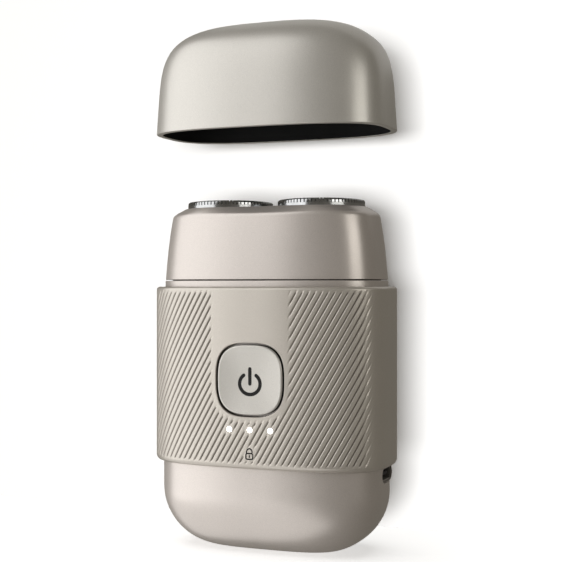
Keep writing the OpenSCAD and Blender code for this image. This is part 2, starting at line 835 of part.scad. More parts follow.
// Shaving head: a slotted steel cup with a flange
module guard(side) {
    inner_r = head_r - head_wall;
    under_z = head_z1 - head_skin;
    slot_r0 = head_hole_r + 0.8;
    translate([side * head_x, 0, 0]) color("#c9cbce") difference() {
        rotate_extrude() polygon([
            [head_hole_r, under_z], [head_hole_r, head_z1 - 0.15], [head_r * 0.75, head_z1],
            [head_r - 0.5, head_z1 - 0.15], [head_r, head_z1 - 0.6], [head_r, flange_z1],
            [flange_r, flange_z1], [flange_r, flange_z0], [inner_r, flange_z0], [inner_r, under_z]
        ]);
        for (i = [0:head_slots - 1]) rotate([0, 0, 360 * (i + 0.5) / head_slots])
            block([slot_r0, -slot_w / 2, under_z - 0.15], [head_r + over, slot_w / 2, head_z1 + over]);
    }
}
module guard_left() { guard(left); }
module guard_right() { guard(right); }

// Centre cap of a shaving head, with the bore that centres the cutter
module head_trim(side) {
    under_z = head_z1 - head_skin;
    translate([side * head_x, 0, 0]) color("#b3a79c") difference() {
        union() {
            rod(head_hole_r - 0.05, under_z - 0.1, head_z1 - 0.2);
            rod(head_hole_r + 0.6, under_z - 0.6, under_z - 0.05);
            rod(2.6, flange_z0 - 0.3, under_z);
        }
        rod(pivot_r + run_gap, flange_z0 - over, pivot_z1 + 0.3);
    }
}
module head_trim_left() { head_trim(left); }
module head_trim_right() { head_trim(right); }

// Ring under a shaving head that rests on the retaining frame when pressed
module guard_holder(side) {
    color("#3b3e42") tube(flange_r, head_r - head_wall - 0.2, holder_z0, flange_z0, side * head_x);
}
module guard_holder_left() { guard_holder(left); }
module guard_holder_right() { guard_holder(right); }

// Carrier: takes the spindle's tip and turns the blades
module cutter_carrier(side) {
    translate([side * head_x, 0, 0]) color("#2f3236") difference() {
        union() {
            rod(carrier_r, carrier_z0, carrier_disc_z0 + eps);
            rod(blade_r * 0.64, carrier_disc_z0, blade_z0);
            rod(pivot_r, blade_z0 - eps, pivot_z1);
        }
        hex_bar(socket_r, carrier_z0 - over, tip_z1 + 0.6);
    }
}
module cutter_carrier_left() { cutter_carrier(left); }
module cutter_carrier_right() { cutter_carrier(right); }

// Blades: a sprung ring with upright fingers
module cutter_blade_ring(side) {
    translate([side * head_x, 0, 0]) color("#d4d6d8") {
        tube(blade_r, pivot_r + 1.5, blade_z0, blade_z0 + blade_ring_t);
        for (i = [0:cutter_blades - 1]) rotate([0, 0, 360 * i / cutter_blades])
            block([blade_r - blade_w, -0.3, blade_z0 + eps], [blade_r - 0.05, 0.3, blade_z1]);
    }
}
module cutter_blades_left() { cutter_blade_ring(left); }
module cutter_blades_right() { cutter_blade_ring(right); }

// Cap: half-size and height of its dome, set in by wall, at an angle from rim to crown
dome_width_n = 3.3;
dome_depth_n = 3.67;
dome_rise_n = 5.67;
dome_lean = 1.58;
function dome_ring(wall, angle) =
    let (rise = pow(sin(angle), 2 / dome_rise_n), lean = dome_lean * rise)
    ring(
        (band_a - wall - lean) * pow(cos(angle), 2 / dome_width_n),
        (band_b - wall - lean) * pow(cos(angle), 2 / dome_depth_n),
        cap_z0 + (cap_h - wall) * rise
    );
dome_up = [0, 10, 20, 30, 40, 50, 60, 70, 80, 88];
dome_down = [88, 80, 70, 58, 45, 32, 20, 10];
liner_z0 = 1.25;

module cap_shell() {
    color("#cfc6bd") loft(concat(
        [for (angle = dome_down) dome_ring(cap_wall, angle)],
        [
            ring(band_a - cap_wall, band_b - cap_wall, cap_z0 + liner_z0 - 0.05),
            ring(band_a - cap_rim, band_b - cap_rim, cap_z0 + liner_z0 - 0.05),
            ring(band_a - cap_rim, band_b - cap_rim, cap_z0)
        ],
        [for (angle = dome_up) dome_ring(0, angle)]
    ));
}

module cap_liner() {
    outer = cap_wall + fit_gap;
    color("#141416") loft(concat(
        [for (angle = dome_down) dome_ring(cap_rim, angle)],
        [
            ring(band_a - cap_rim, band_b - cap_rim, cap_z0 + liner_z0),
            ring(band_a - outer, band_b - outer, cap_z0 + liner_z0)
        ],
        [for (i = [len(dome_down) - 1:-1:0]) dome_ring(outer, dome_down[i])]
    ));
}

casing();
grip_band();
lock_symbol();
light_pipes();
top_deck();
deck_gasket();
deck_screws();
spindle_seals();
gear_plate();
gear_axles();
motor_can();
motor_magnets();
motor_bushing();
motor_end_cap();
motor_screws();
chassis();
battery();
battery_tabs();
circuit_board();
board_screws();
tact_switch();
status_leds();
button_seal();
port_board();
port_shell();
port_tongue();
port_gasket();
power_button();
power_symbol();
motor_shaft();
motor_armature();
drive_pinion();
drive_gear_left();
drive_gear_right();
spindle_spring_left();
spindle_spring_right();
spindle_left();
spindle_right();
head_cover();
retaining_frame();
guard_left();
guard_right();
head_trim_left();
head_trim_right();
guard_holder_left();
guard_holder_right();
cutter_carrier_left();
cutter_carrier_right();
cutter_blades_left();
cutter_blades_right();
cap_shell();
cap_liner();
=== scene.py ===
"""Looks of a two-head pocket shaver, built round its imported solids.

The file is laid out as an add-on: the sidebar panel lists one operator for each piece or group of
like pieces, and main() calls them in order. Lengths are metres, in the frame of the solids: +Z is up,
the power button faces -Y and the charging port is on the +X side.
"""

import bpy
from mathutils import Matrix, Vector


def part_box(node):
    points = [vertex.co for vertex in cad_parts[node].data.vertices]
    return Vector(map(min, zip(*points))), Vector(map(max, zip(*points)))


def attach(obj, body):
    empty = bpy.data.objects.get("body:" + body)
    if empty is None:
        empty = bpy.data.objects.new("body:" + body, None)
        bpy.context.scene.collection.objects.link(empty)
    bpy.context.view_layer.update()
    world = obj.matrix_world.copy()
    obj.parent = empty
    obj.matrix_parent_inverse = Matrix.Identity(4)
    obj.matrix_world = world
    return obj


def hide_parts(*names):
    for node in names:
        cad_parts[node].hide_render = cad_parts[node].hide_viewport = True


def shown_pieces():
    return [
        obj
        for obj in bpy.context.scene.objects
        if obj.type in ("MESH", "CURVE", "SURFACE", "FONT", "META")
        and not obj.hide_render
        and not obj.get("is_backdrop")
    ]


bl_info = {
    "name": "Pocket Shaver Looks",
    "version": (1, 0, 0),
    "blender": (4, 5, 0),
    "location": "View3D > Sidebar > Shaver",
    "description": "Builds the lacquered shells, shaving heads, cap and stage of a pocket shaver",
    "category": "Object",
}

import math
from functools import partial

import bmesh
import bpy
import numpy as np
from bpy.props import FloatProperty, FloatVectorProperty, IntProperty, PointerProperty

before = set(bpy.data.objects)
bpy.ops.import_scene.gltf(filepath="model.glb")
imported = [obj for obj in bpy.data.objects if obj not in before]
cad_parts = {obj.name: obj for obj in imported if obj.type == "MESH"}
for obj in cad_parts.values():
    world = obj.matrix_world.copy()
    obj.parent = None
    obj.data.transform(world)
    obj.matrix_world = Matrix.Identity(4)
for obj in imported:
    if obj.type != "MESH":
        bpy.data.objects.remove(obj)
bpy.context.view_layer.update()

MM = 0.001
FRONT = -math.pi / 2
SHARP_ANGLE = math.radians(32)
FINE_STEPS = 16385

CASING_WALL = 1.4 * MM
BAND_PLAY = 0.05 * MM
BUTTON_SQUARENESS = 2.9
BUTTON_GAP = 0.45 * MM
BUTTON_RECESS = 0.8 * MM
BUTTON_DISH = 0.28 * MM
LIGHT_RADIUS = 0.66 * MM
SIGN_PLAY = 0.06 * MM
HEAD_LIP = 0.7 * MM
HEAD_FLANGE = 0.8 * MM
DOME_RISE = 5.67
DOME_WIDTH = 3.3
DOME_DEPTH = 3.67
LIGHT_AIM_Z = 0.07


def top(node):
    """Highest corner of a solid."""
    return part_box(node)[1]


def foot(node):
    """Lowest corner of a solid."""
    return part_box(node)[0]


# ---------------------------------------------------------------------------------------------
# Sizes, colours and lights that a user may change
# ---------------------------------------------------------------------------------------------


def length_property(name, description, millimetres):
    """A length that a user can change; its default is given in millimetres."""
    return FloatProperty(
        name=name, description=description, default=millimetres * MM, unit="LENGTH", precision=5
    )


def colour_property(name, description, default):
    """A linear colour that a user can pick."""
    return FloatVectorProperty(
        name=name, description=description, subtype="COLOR", size=3, min=0, max=1, default=default
    )


class ShaverShape(bpy.types.PropertyGroup):
    """Sizes of the details that the solids leave plain"""

    squareness: FloatProperty(
        name="Squareness", description="Exponent of the plan outline, 2 is an ellipse", default=3.1,
        min=2.0, max=6.0
    )
    outline_steps: IntProperty(
        name="Outline steps", description="Points round each lacquered shell", default=320, min=48, max=640
    )
    groove_pitch: length_property("Groove pitch", "Distance between grooves along the band's outline", 1.577)
    groove_width: length_property("Groove width", "Width of a groove across its lips", 0.58)
    groove_depth: length_property("Groove depth", "Depth of a groove below the band's face", 0.26)
    groove_lean: FloatProperty(
        name="Groove lean", description="Lean of the grooves from upright", default=math.radians(30),
        subtype="ANGLE"
    )
    groove_start: length_property(
        "Groove start", "Where one groove meets the field's lower end, along the front", 0.46
    )
    field_top: length_property("Field top", "Smooth margin above the grooves", 1.15)
    field_foot: length_property("Field foot", "Smooth margin below the grooves", 1.3)
    field_side: length_property("Field side", "Distance from the middle at which the grooves end", 29.0)
    field_edge: length_property("Field edge", "Run-out of a groove at an edge of the field", 0.3)
    side_fade: length_property("Side fade", "Longer run-out of the grooves at the narrow sides", 2.2)
    strip_half: length_property("Strip half width", "Half width of the smooth strip above the button", 10.25)
    button_margin: length_property("Button margin", "Smooth margin round the button", 1.15)
    light_margin: length_property("Light margin", "Smooth radius round a status light", 1.2)
    band_top_bevel: length_property("Band top bevel", "Rounding of the band's top edge", 0.8)
    band_foot_bevel: length_property("Band foot bevel", "Rounding of the band's bottom edge", 1.4)
    foot_radius: length_property("Foot radius", "Radius of the casing's lower corners", 15)
    foot_tuck: length_property("Foot tuck", "How far the front curves in to the foot", 9.5)
    cover_lean: length_property("Cover lean", "How far the head cover's sides lean in", 1.9)
    shoulder_height: length_property("Shoulder height", "Rise from the cover's edge to its top", 1.9)
    shoulder_dip: length_property("Shoulder dip", "How far the top is pinched between the heads", 0.9)
    slots: IntProperty(name="Slots", description="Slots in a shaving head", default=72, min=24, max=120)
    slot_width: length_property("Slot width", "Width of a slot", 0.3)
    cap_lean: length_property("Cap lean", "How far the cap's sides lean in", 1.58)
    cap_rim: length_property("Cap rim", "Width of the cap's rim", 1.5)


class ShaverFinish(bpy.types.PropertyGroup):
    """Colours of the finishes that show outside"""

    champagne: colour_property(
        "Champagne", "Lacquer of the casing and head cover", (0.60, 0.55, 0.515)
    )
    cap_champagne: colour_property(
        "Cap champagne", "Lacquer of the cap and, a little darker, the button", (0.575, 0.553, 0.515)
    )
    taupe: colour_property("Taupe", "Lacquer of the grip band", (0.545, 0.505, 0.455))
    groove_shade_colour: colour_property("Groove brown", "Shade at the bottom of the grooves", (0.075, 0.058, 0.045))
    # Colour of the painted shade at the bottom of the grooves.
    ink: colour_property("Ink", "Inlaid signs", (0.012, 0.011, 0.011))
    steel: colour_property("Steel", "Polished shaving heads", (0.47, 0.475, 0.48))
    lamp: colour_property("Lamp", "Status lights", (1.0, 0.985, 0.95))
    lamp_strength: FloatProperty(name="Lamp strength", description="Glow of the status lights", default=3.2)


class ShaverStage(bpy.types.PropertyGroup):
    """Camera and lights"""

    distance: FloatProperty(
        name="Distance", description="From the camera to the shaver's axis", default=0.3055, unit="LENGTH"
    )
    turn: FloatProperty(
        name="Turn", description="Turn of the camera towards the charging side", default=math.radians(22.14),
        subtype="ANGLE"
    )
    height: FloatProperty(name="Height", description="Height of the camera", default=0.066, unit="LENGTH")
    lens: FloatProperty(name="Lens", description="Focal length in millimetres", default=76.5)
    shift: FloatProperty(name="Shift", description="Shift of the frame, right and up", default=0.01)
    backdrop_gap: FloatProperty(
        name="Backdrop gap", description="From the shaver's back to the backdrop", default=16 * MM,
        unit="LENGTH"
    )
    ambient: FloatProperty(name="Ambient", description="Strength of the even light", default=0.165)


# ---------------------------------------------------------------------------------------------
# Outlines and rings
# ---------------------------------------------------------------------------------------------


def outline(a, b, turns, squareness):
    """Points of the plan outline with half sizes a and b, at the given turns."""
    c = np.cos(turns)
    s = np.sin(turns)
    power = 2 / squareness
    return np.column_stack((a * np.sign(c) * np.abs(c) ** power, b * np.sign(s) * np.abs(s) ** power))


def even_turns(a, b, squareness, steps):
    """Turns that walk the outline in equal lengths, starting at the middle of the front."""
    fine = np.linspace(FRONT, FRONT + 2 * math.pi, FINE_STEPS)
    walked = walk(outline(a, b, fine, squareness))
    return np.interp(np.arange(steps) * walked[-1] / steps, walked, fine)


def walk(points):
    """Length walked along a line at each of its points."""
    return np.concatenate(([0.0], np.cumsum(np.linalg.norm(np.diff(points, axis=0), axis=1))))


def level(points, z):
    """A ring of plan points at one height."""
    return np.column_stack((points, np.full(len(points), z)))


def plan_ring(a, b, turns, shape, z):
    """A ring on the plan outline with half sizes a and b."""
    return level(outline(a, b, turns, shape.squareness), z)


def side_depth(a, b, x, squareness):
    """Distance of the outline from the middle plane, at a distance x along the width."""
    return b * (1 - np.abs(x / a) ** squareness) ** (1 / squareness)


def quarter(radius, steps):
    """Points of a convex edge: how far in from the wall, and how far short of the edge."""
    angles = np.linspace(0, math.pi / 2, steps)
    return [(radius * (1 - math.cos(t)), radius * (1 - math.sin(t))) for t in angles]


# ---------------------------------------------------------------------------------------------
# Meshes
# ---------------------------------------------------------------------------------------------


def skin(rings, loop=False, ends=True):
    """Points and faces over rings of equal length; open ends are closed by fans to their middles."""
    count = len(rings[0])
    total = len(rings)
    points = np.concatenate(rings)
    near = np.arange(count)
    following = (near + 1) % count
    faces = []
    for k in range(total if loop else total - 1):
        low = k * count
        high = ((k + 1) % total) * count
        quads = np.column_stack((low + near, low + following, high + following, high + near))
        faces.extend(quads.tolist())
    if ends and not loop:
        middles = [rings[0].mean(axis=0), rings[-1].mean(axis=0)]
        first = len(points)
        points = np.concatenate((points, middles))
        last = (total - 1) * count
        faces.extend([[int(j), int(i), first] for i, j in zip(near, following)])
        faces.extend([[last + int(i), last + int(j), first + 1] for i, j in zip(near, following)])
    return points, faces


def join_parts(parts):
    """One set of points and faces from several."""
    points = []
    faces = []
    start = 0
    for part_points, part_faces in parts:
        points.append(np.asarray(part_points))
        faces.extend([[start + i for i in face] for face in part_faces])
        start += len(part_points)
    return np.concatenate(points), faces


def new_object(name, points, faces, recalculate=False):
    """A mesh object from points and faces."""
    mesh = bpy.data.meshes.new(name)
    mesh.from_pydata(np.asarray(points).tolist(), [], faces)
    if recalculate:
        made = bmesh.new()
        made.from_mesh(mesh)
        bmesh.ops.recalc_face_normals(made, faces=made.faces)
        made.to_mesh(mesh)
        made.free()
    obj = bpy.data.objects.new(name, mesh)
    bpy.context.scene.collection.objects.link(obj)
    return obj


def carve(piece, cutters):
    """Cuts closed cutters out of a closed piece, and removes the cutters."""
    for cutter in cutters:
        cut = piece.modifiers.new("cut", "BOOLEAN")
        cut.operation = "DIFFERENCE"
        cut.solver = "MANIFOLD"
        cut.object = cutter
    plain = piece.data
    before = len(plain.polygons)
    bpy.context.view_layer.update()
    carved = bpy.data.meshes.new_from_object(piece.evaluated_get(bpy.context.evaluated_depsgraph_get()))
    if len(carved.polygons) == before or not carved.polygons:
        raise RuntimeError(f"cutting {piece.name} changed nothing")
    piece.modifiers.clear()
    piece.data = carved
    name = plain.name
    bpy.data.meshes.remove(plain)
    carved.name = name
    for cutter in cutters:
        mesh = cutter.data
        bpy.data.objects.remove(cutter)
        bpy.data.meshes.remove(mesh)


def finish_piece(piece, body, finish, replaced=(), angle=SHARP_ANGLE):
    """Shades a piece, gives it its finish and ties it to its body."""
    piece.data.shade_smooth()
    piece.data.set_sharp_from_angle(angle=angle)
    piece.data.materials.clear()
    piece.data.materials.append(finish)
    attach(piece, body)
    if replaced:
        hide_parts(*replaced)
    return piece


def revolve(profile, steps, x=0.0):
    """Points and faces of a profile of (radius, height) turned about an upright axis at x."""
    turns = np.arange(steps) * 2 * math.pi / steps
    rings = [
        np.column_stack((x + r * np.cos(turns), r * np.sin(turns), np.full(steps, z)))
        for r, z in profile
    ]
    return skin(rings)


def outward(loop):
    """Unit steps out of a closed loop, at each of its points."""
    step = np.roll(loop, -1, axis=0) - np.roll(loop, 1, axis=0)
    return np.column_stack((step[:, 1], -step[:, 0])) / np.linalg.norm(step, axis=1)[:, None]


def front_rings(loop, stations):
    """Rings of a closed loop in the XZ plane, each at its own grown size and its own depth along Y."""
    out = outward(loop)
    rings = []
    for grown, depth in stations:
        at = loop + out * grown
        y = depth(at[:, 0]) if callable(depth) else np.full(len(at), depth)
        rings.append(np.column_stack((at[:, 0], y, at[:, 1])))
    return rings


def ribbon(path, width, front, back, closed=False, edge=0.0):
    """A flat stroke along a path in the XZ plane, from the depth front to the depth back."""
    half = width / 2
    path = np.asarray(path, float)
    if closed:
        step = np.roll(path, -1, axis=0) - np.roll(path, 1, axis=0)
        halves = np.full(len(path), half)
    else:
        round_end = np.sin(np.linspace(0, math.pi / 2, 7))[1:]
        start = (path[0] - path[1]) / np.linalg.norm(path[0] - path[1])
        stop = (path[-1] - path[-2]) / np.linalg.norm(path[-1] - path[-2])
        reach = np.minimum(round_end, 0.998) * half
        path = np.concatenate((
            [path[0] + start * d for d in reach[::-1]], path, [path[-1] + stop * d for d in reach]
        ))
        narrow = np.sqrt(half ** 2 - reach ** 2)
        halves = np.concatenate((narrow[::-1], np.full(len(path) - 2 * len(reach), half), narrow))
        step = np.gradient(path, axis=0)
    side = np.column_stack((-step[:, 1], step[:, 0])) / np.linalg.norm(step, axis=1)[:, None]
    rings = []
    for at, out, reach_half in zip(path, side, halves):
        inset = max(reach_half - edge, reach_half * 0.5)
        section = [
            (reach_half, back), (reach_half, front + edge), (inset, front),
            (-inset, front), (-reach_half, front + edge), (-reach_half, back),
        ]
        rings.append(np.array([[at[0] + out[0] * w, y, at[1] + out[1] * w] for w, y in section]))
    return skin(rings, loop=closed)


# ---------------------------------------------------------------------------------------------
# Shader maths
# ---------------------------------------------------------------------------------------------


class Level:
    """A number socket that takes part in Python expressions; each operator adds its Math node."""

    def __init__(self, paint, socket):
        self.paint = paint
        self.socket = socket

    def math(self, operation, first, second=None):
        values = {0: first} if second is None else {0: first, 1: second}
        node = self.paint.node("ShaderNodeMath", {"operation": operation}, values)
        return Level(self.paint, node.outputs[0])

    def __add__(self, other):
        return self.math("ADD", self, other)

    def __radd__(self, other):
        return self.math("ADD", other, self)

    def __sub__(self, other):
        return self.math("SUBTRACT", self, other)

    def __rsub__(self, other):
        return self.math("SUBTRACT", other, self)

    def __mul__(self, other):
        return self.math("MULTIPLY", self, other)

    def __rmul__(self, other):
        return self.math("MULTIPLY", other, self)

    def __gt__(self, other):
        return self.math("GREATER_THAN", self, other)

    def __abs__(self):
        return self.math("ABSOLUTE", self)

    def root(self):
        return self.math("SQRT", self)

    def wave(self, pitch):
        """A soft wave from 0 to 1 that repeats every pitch."""
        return self.math("SINE", self * (2 * math.pi / pitch)) * 0.5 + 0.5

    def between(self, low, high):
        """0 below low, 1 above high and soft in between."""
        node = self.paint.node(
            "ShaderNodeMapRange", {"interpolation_type": "SMOOTHSTEP"},
            {"Value": self, "From Min": low, "From Max": high},
        )
        return Level(self.paint, node.outputs["Result"])


class Nodes:
    """The emptied node tree of a material or world, and the one way to add a node to it."""

    def __init__(self, owner):
        owner.use_nodes = True
        self.tree = owner.node_tree
        self.tree.nodes.clear()

    def node(self, kind, settings=None, values=None):
        """A node of a kind: its settings first, then its sockets, by name, identifier or number."""
        node = self.tree.nodes.new(kind)
        for key, value in (settings or {}).items():
            setattr(node, key, value)
        for key, value in (values or {}).items():
            socket = next(
                s for i, s in enumerate(node.inputs) if key in (i, s.name, s.identifier) and s.enabled
            )
            value = value.socket if isinstance(value, Level) else value
            if isinstance(value, bpy.types.NodeSocket):
                self.tree.links.new(value, socket)
            elif hasattr(value, "__len__") and socket.type == "RGBA" and len(value) == 3:
                socket.default_value = (*value, 1.0)
            else:
                socket.default_value = value
        return node


class Paint(Nodes):
    """A new material and the ways to add to its nodes."""

    def __init__(self, name):
        self.material = bpy.data.materials.new(name)
        super().__init__(self.material)
        self.place = self.node("ShaderNodeTexCoord").outputs["Object"]

    def noise(self, scale, detail=2.0, place=None):
        """Noise with features of about 1 / scale metres."""
        node = self.node(
            "ShaderNodeTexNoise", {"noise_dimensions": "3D"},
            {"Vector": place or self.place, "Scale": scale, "Detail": detail},
        )
        return Level(self, node.outputs[0])

    def cells(self, scale):
        """Distance to the nearest of scattered points."""
        node = self.node("ShaderNodeTexVoronoi", {}, {"Vector": self.place, "Scale": scale})
        return Level(self, node.outputs["Distance"])

    def attribute(self, name):
        """A number stored on the mesh."""
        return Level(self, self.node("ShaderNodeAttribute", {"attribute_name": name}).outputs["Fac"])

    def axes(self):
        """The three parts of the place."""
        node = self.node("ShaderNodeSeparateXYZ", {}, {0: self.place})
        return [Level(self, out) for out in node.outputs]

    def stretched(self, x, y, z):
        """The place, scaled along each axis."""
        node = self.node("ShaderNodeVectorMath", {"operation": "MULTIPLY"}, {0: self.place, 1: (x, y, z)})
        return node.outputs["Vector"]

    def mix(self, share, first, second):
        """A colour between two colours."""
        node = self.node(
            "ShaderNodeMix", {"data_type": "RGBA"},
            {"Factor_Float": share, "A_Color": first, "B_Color": second},
        )
        return next(out for out in node.outputs if out.identifier == "Result_Color")

    def bump(self, height, rise, normal=None):
        """A normal from a height of 0 to 1 that stands for rise metres."""
        values = {"Height": height, "Distance": rise, "Strength": 1.0}
        if normal is not None:
            values["Normal"] = normal
        return self.node("ShaderNodeBump", {}, values).outputs["Normal"]

    def surface(self, **values):
        """Ends the material with one Principled shader, and returns the material."""
        sockets = {name.replace("_", " "): value for name, value in values.items()}
        shader = self.node("ShaderNodeBsdfPrincipled", {}, sockets)
        self.node("ShaderNodeOutputMaterial", {}, {"Surface": shader.outputs[0]})
        return self.material


def scaled(colour, share):
    """A darker or lighter copy of a colour."""
    return tuple(min(1.0, c * share) for c in colour[:3])


# ---------------------------------------------------------------------------------------------
# Finishes
# ---------------------------------------------------------------------------------------------


def lacquer(name, colour, roughness=0.30, grooves=None):
    """Satin metallic lacquer: fine flakes under a soft clear coat, with a faint orange peel; given a groove
    colour, it paints shade into the bottoms of the grooves.
    """
    paint = Paint(name)
    flakes = paint.noise(9000, 1.0).between(0.36, 0.64)
    clouds = paint.noise(120, 3.0)
    base = paint.mix(flakes * 0.7 + clouds * 0.3, scaled(colour, 0.90), scaled(colour, 1.09))
    rough = roughness + clouds * 0.05 + flakes * 0.03
    if grooves is not None:
        # Painted shade: the groove bottoms are darkened towards a dark brown, broken up by a fine mottle.
        deep = paint.attribute("groove").between(0.3, 0.95)
        shade_mottle = paint.noise(2500, 2.0) * 0.15
        base = paint.mix(deep * (0.85 - shade_mottle), base, grooves)
        rough = rough + deep * 0.12
    peel = paint.bump(paint.noise(700, 2.0), 0.0025 * MM)
    grain = paint.bump(flakes, 0.0009 * MM, peel)
    return paint.surface(
        Base_Color=base, Roughness=rough, Normal=grain, Metallic=0.5, Coat_Weight=0.22, Coat_Roughness=0.24,
        Specular_IOR_Level=0.5,
    )


def polished_steel(name, colour, centre_x):
    """Polished steel with fine lathe rings round each head's axis and faint wipe marks."""
    paint = Paint(name)
    x, y, z = paint.axes()
    across = abs(x) - centre_x
    radius = (across * across + y * y).root()
    rings = (radius + z * 0.7).wave(0.11 * MM)
    wipe = paint.noise(500, 3.0)
    base = paint.mix(wipe.between(0.3, 0.7), scaled(colour, 0.82), colour)
    rough = 0.11 + rings * 0.05 + wipe * 0.08
    normal = paint.bump(rings, 0.0008 * MM)
    return paint.surface(Base_Color=base, Roughness=rough, Normal=normal, Metallic=1.0)


def plain_metal(name, colour, roughness, stretch=(1, 1, 1), scratch=1600):
    """Drawn or turned metal: streaks along one direction, dulled in patches."""
    paint = Paint(name)
    streaks = paint.noise(scratch, 3.0, paint.stretched(*stretch))
    patches = paint.noise(220, 2.0)
    base = paint.mix(streaks * 0.6 + patches * 0.4, scaled(colour, 0.7), scaled(colour, 1.12))
    rough = roughness + patches * 0.12
    return paint.surface(
        Base_Color=base, Roughness=rough, Normal=paint.bump(streaks, 0.004 * MM), Metallic=1.0
    )


def moulded(name, colour, roughness, grain=2200, rise=0.012 * MM, flow=0.0):
    """Moulded plastic or rubber: fine spark-eroded grain, slight flow marks and handling sheen."""
    paint = Paint(name)
    pits = paint.noise(grain, 3.0)
    marks = paint.noise(160, 2.0, paint.stretched(1, 1, 0.3))
    base = paint.mix(marks * (1 - flow) + pits * flow, scaled(colour, 0.82), scaled(colour, 1.2))
    rough = roughness + marks * 0.12 - pits * 0.05
    return paint.surface(Base_Color=base, Roughness=rough, Normal=paint.bump(pits, rise))


def inlay(name, colour):
    """Dark inlaid ink with a fine dry texture."""
    paint = Paint(name)
    dry = paint.noise(5200, 3.0)
    base = paint.mix(dry, scaled(colour, 0.5), scaled(colour, 1.6))
    return paint.surface(
        Base_Color=base, Roughness=0.55 + dry * 0.2, Normal=paint.bump(dry, 0.004 * MM),
        Specular_IOR_Level=0.25,
    )


def glowing(name, colour, strength):
    """A milky light guide, lit from behind, its glow varied by a faint haze."""
    paint = Paint(name)
    haze = paint.noise(1500, 2.0)
    glow = paint.mix(haze, scaled(colour, 0.94), colour)
    return paint.surface(
        Base_Color=(0.9, 0.9, 0.88), Roughness=0.25 + haze * 0.1, Emission_Color=glow,
        Emission_Strength=strength,
    )


def board_finish(name):
    """Green solder mask over copper tracks, with small pale pads."""
    paint = Paint(name)
    x, _, z = paint.axes()
    wander = paint.noise(260, 1.0)
    tracks = ((x + z * 0.5 + wander * 0.8 * MM).wave(0.9 * MM)).between(0.62, 0.72)
    tracks_up = ((z + wander * 1.1 * MM).wave(1.3 * MM)).between(0.66, 0.76)
    pads = 1 - paint.cells(900).between(0.16, 0.2)
    mask = paint.mix(tracks * 0.5 + tracks_up * 0.3, (0.006, 0.075, 0.035), (0.02, 0.17, 0.075))
    base = paint.mix(pads, mask, (0.62, 0.6, 0.5))
    relief = paint.bump(tracks * 0.6 + pads * 0.4, 0.03 * MM)
    return paint.surface(
        Base_Color=base, Roughness=0.32 - pads * 0.08, Normal=relief, Metallic=pads * 0.9
    )


def winding_finish(name):
    """Enamelled copper wire, wound round a darker steel core."""
    paint = Paint(name)
    z = paint.axes()[2]
    wire = (z + paint.noise(300, 1.0) * 0.15 * MM).wave(0.28 * MM)
    base = paint.mix(wire, (0.10, 0.032, 0.014), (0.58, 0.23, 0.09))
    return paint.surface(
        Base_Color=base, Roughness=0.26 + wire * 0.1, Normal=paint.bump(wire, 0.06 * MM), Metallic=0.85
    )


def cell_wrap(name, low, high):
    """Shrink wrap over a cell, with a paler printed collar near its top and fine shrink wrinkles."""
    paint = Paint(name)
    z = paint.axes()[2]
    collar = (z > high - 7 * MM) * (1 - (z > high - 5 * MM))
    ends = (z > high - 1.2 * MM) + (1 - (z > low + 0.8 * MM))
    wrinkle = paint.noise(500, 3.0, paint.stretched(1, 1, 0.15))
    wrap = paint.mix(wrinkle, (0.02, 0.11, 0.15), (0.035, 0.2, 0.26))
    printed = paint.mix(collar, wrap, (0.72, 0.74, 0.74))
    base = paint.mix(ends, printed, (0.6, 0.6, 0.6))
    return paint.surface(
        Base_Color=base, Roughness=0.24 + wrinkle * 0.15, Normal=paint.bump(wrinkle, 0.03 * MM),
        Metallic=ends * 0.9,
    )


def studio_surface(name, colour, glow):
    """Pale seamless paper with a faint tooth; its back is clear, so it never hides the shaver."""
    paint = Paint(name)
    tooth = paint.noise(900, 4.0)
    base = paint.mix(tooth, scaled(colour, 0.985), colour)
    paper = paint.node(
        "ShaderNodeBsdfPrincipled", {},
        {"Base Color": base, "Roughness": 0.95, "Specular IOR Level": 0.0, "Emission Color": colour,
         "Emission Strength": glow},
    )
    clear = paint.node("ShaderNodeBsdfTransparent")
    behind = paint.node("ShaderNodeNewGeometry").outputs["Backfacing"]
    either = paint.node("ShaderNodeMixShader", {}, {0: behind, 1: paper.outputs[0], 2: clear.outputs[0]})
    paint.node("ShaderNodeOutputMaterial", {}, {"Surface": either.outputs[0]})
    return paint.material


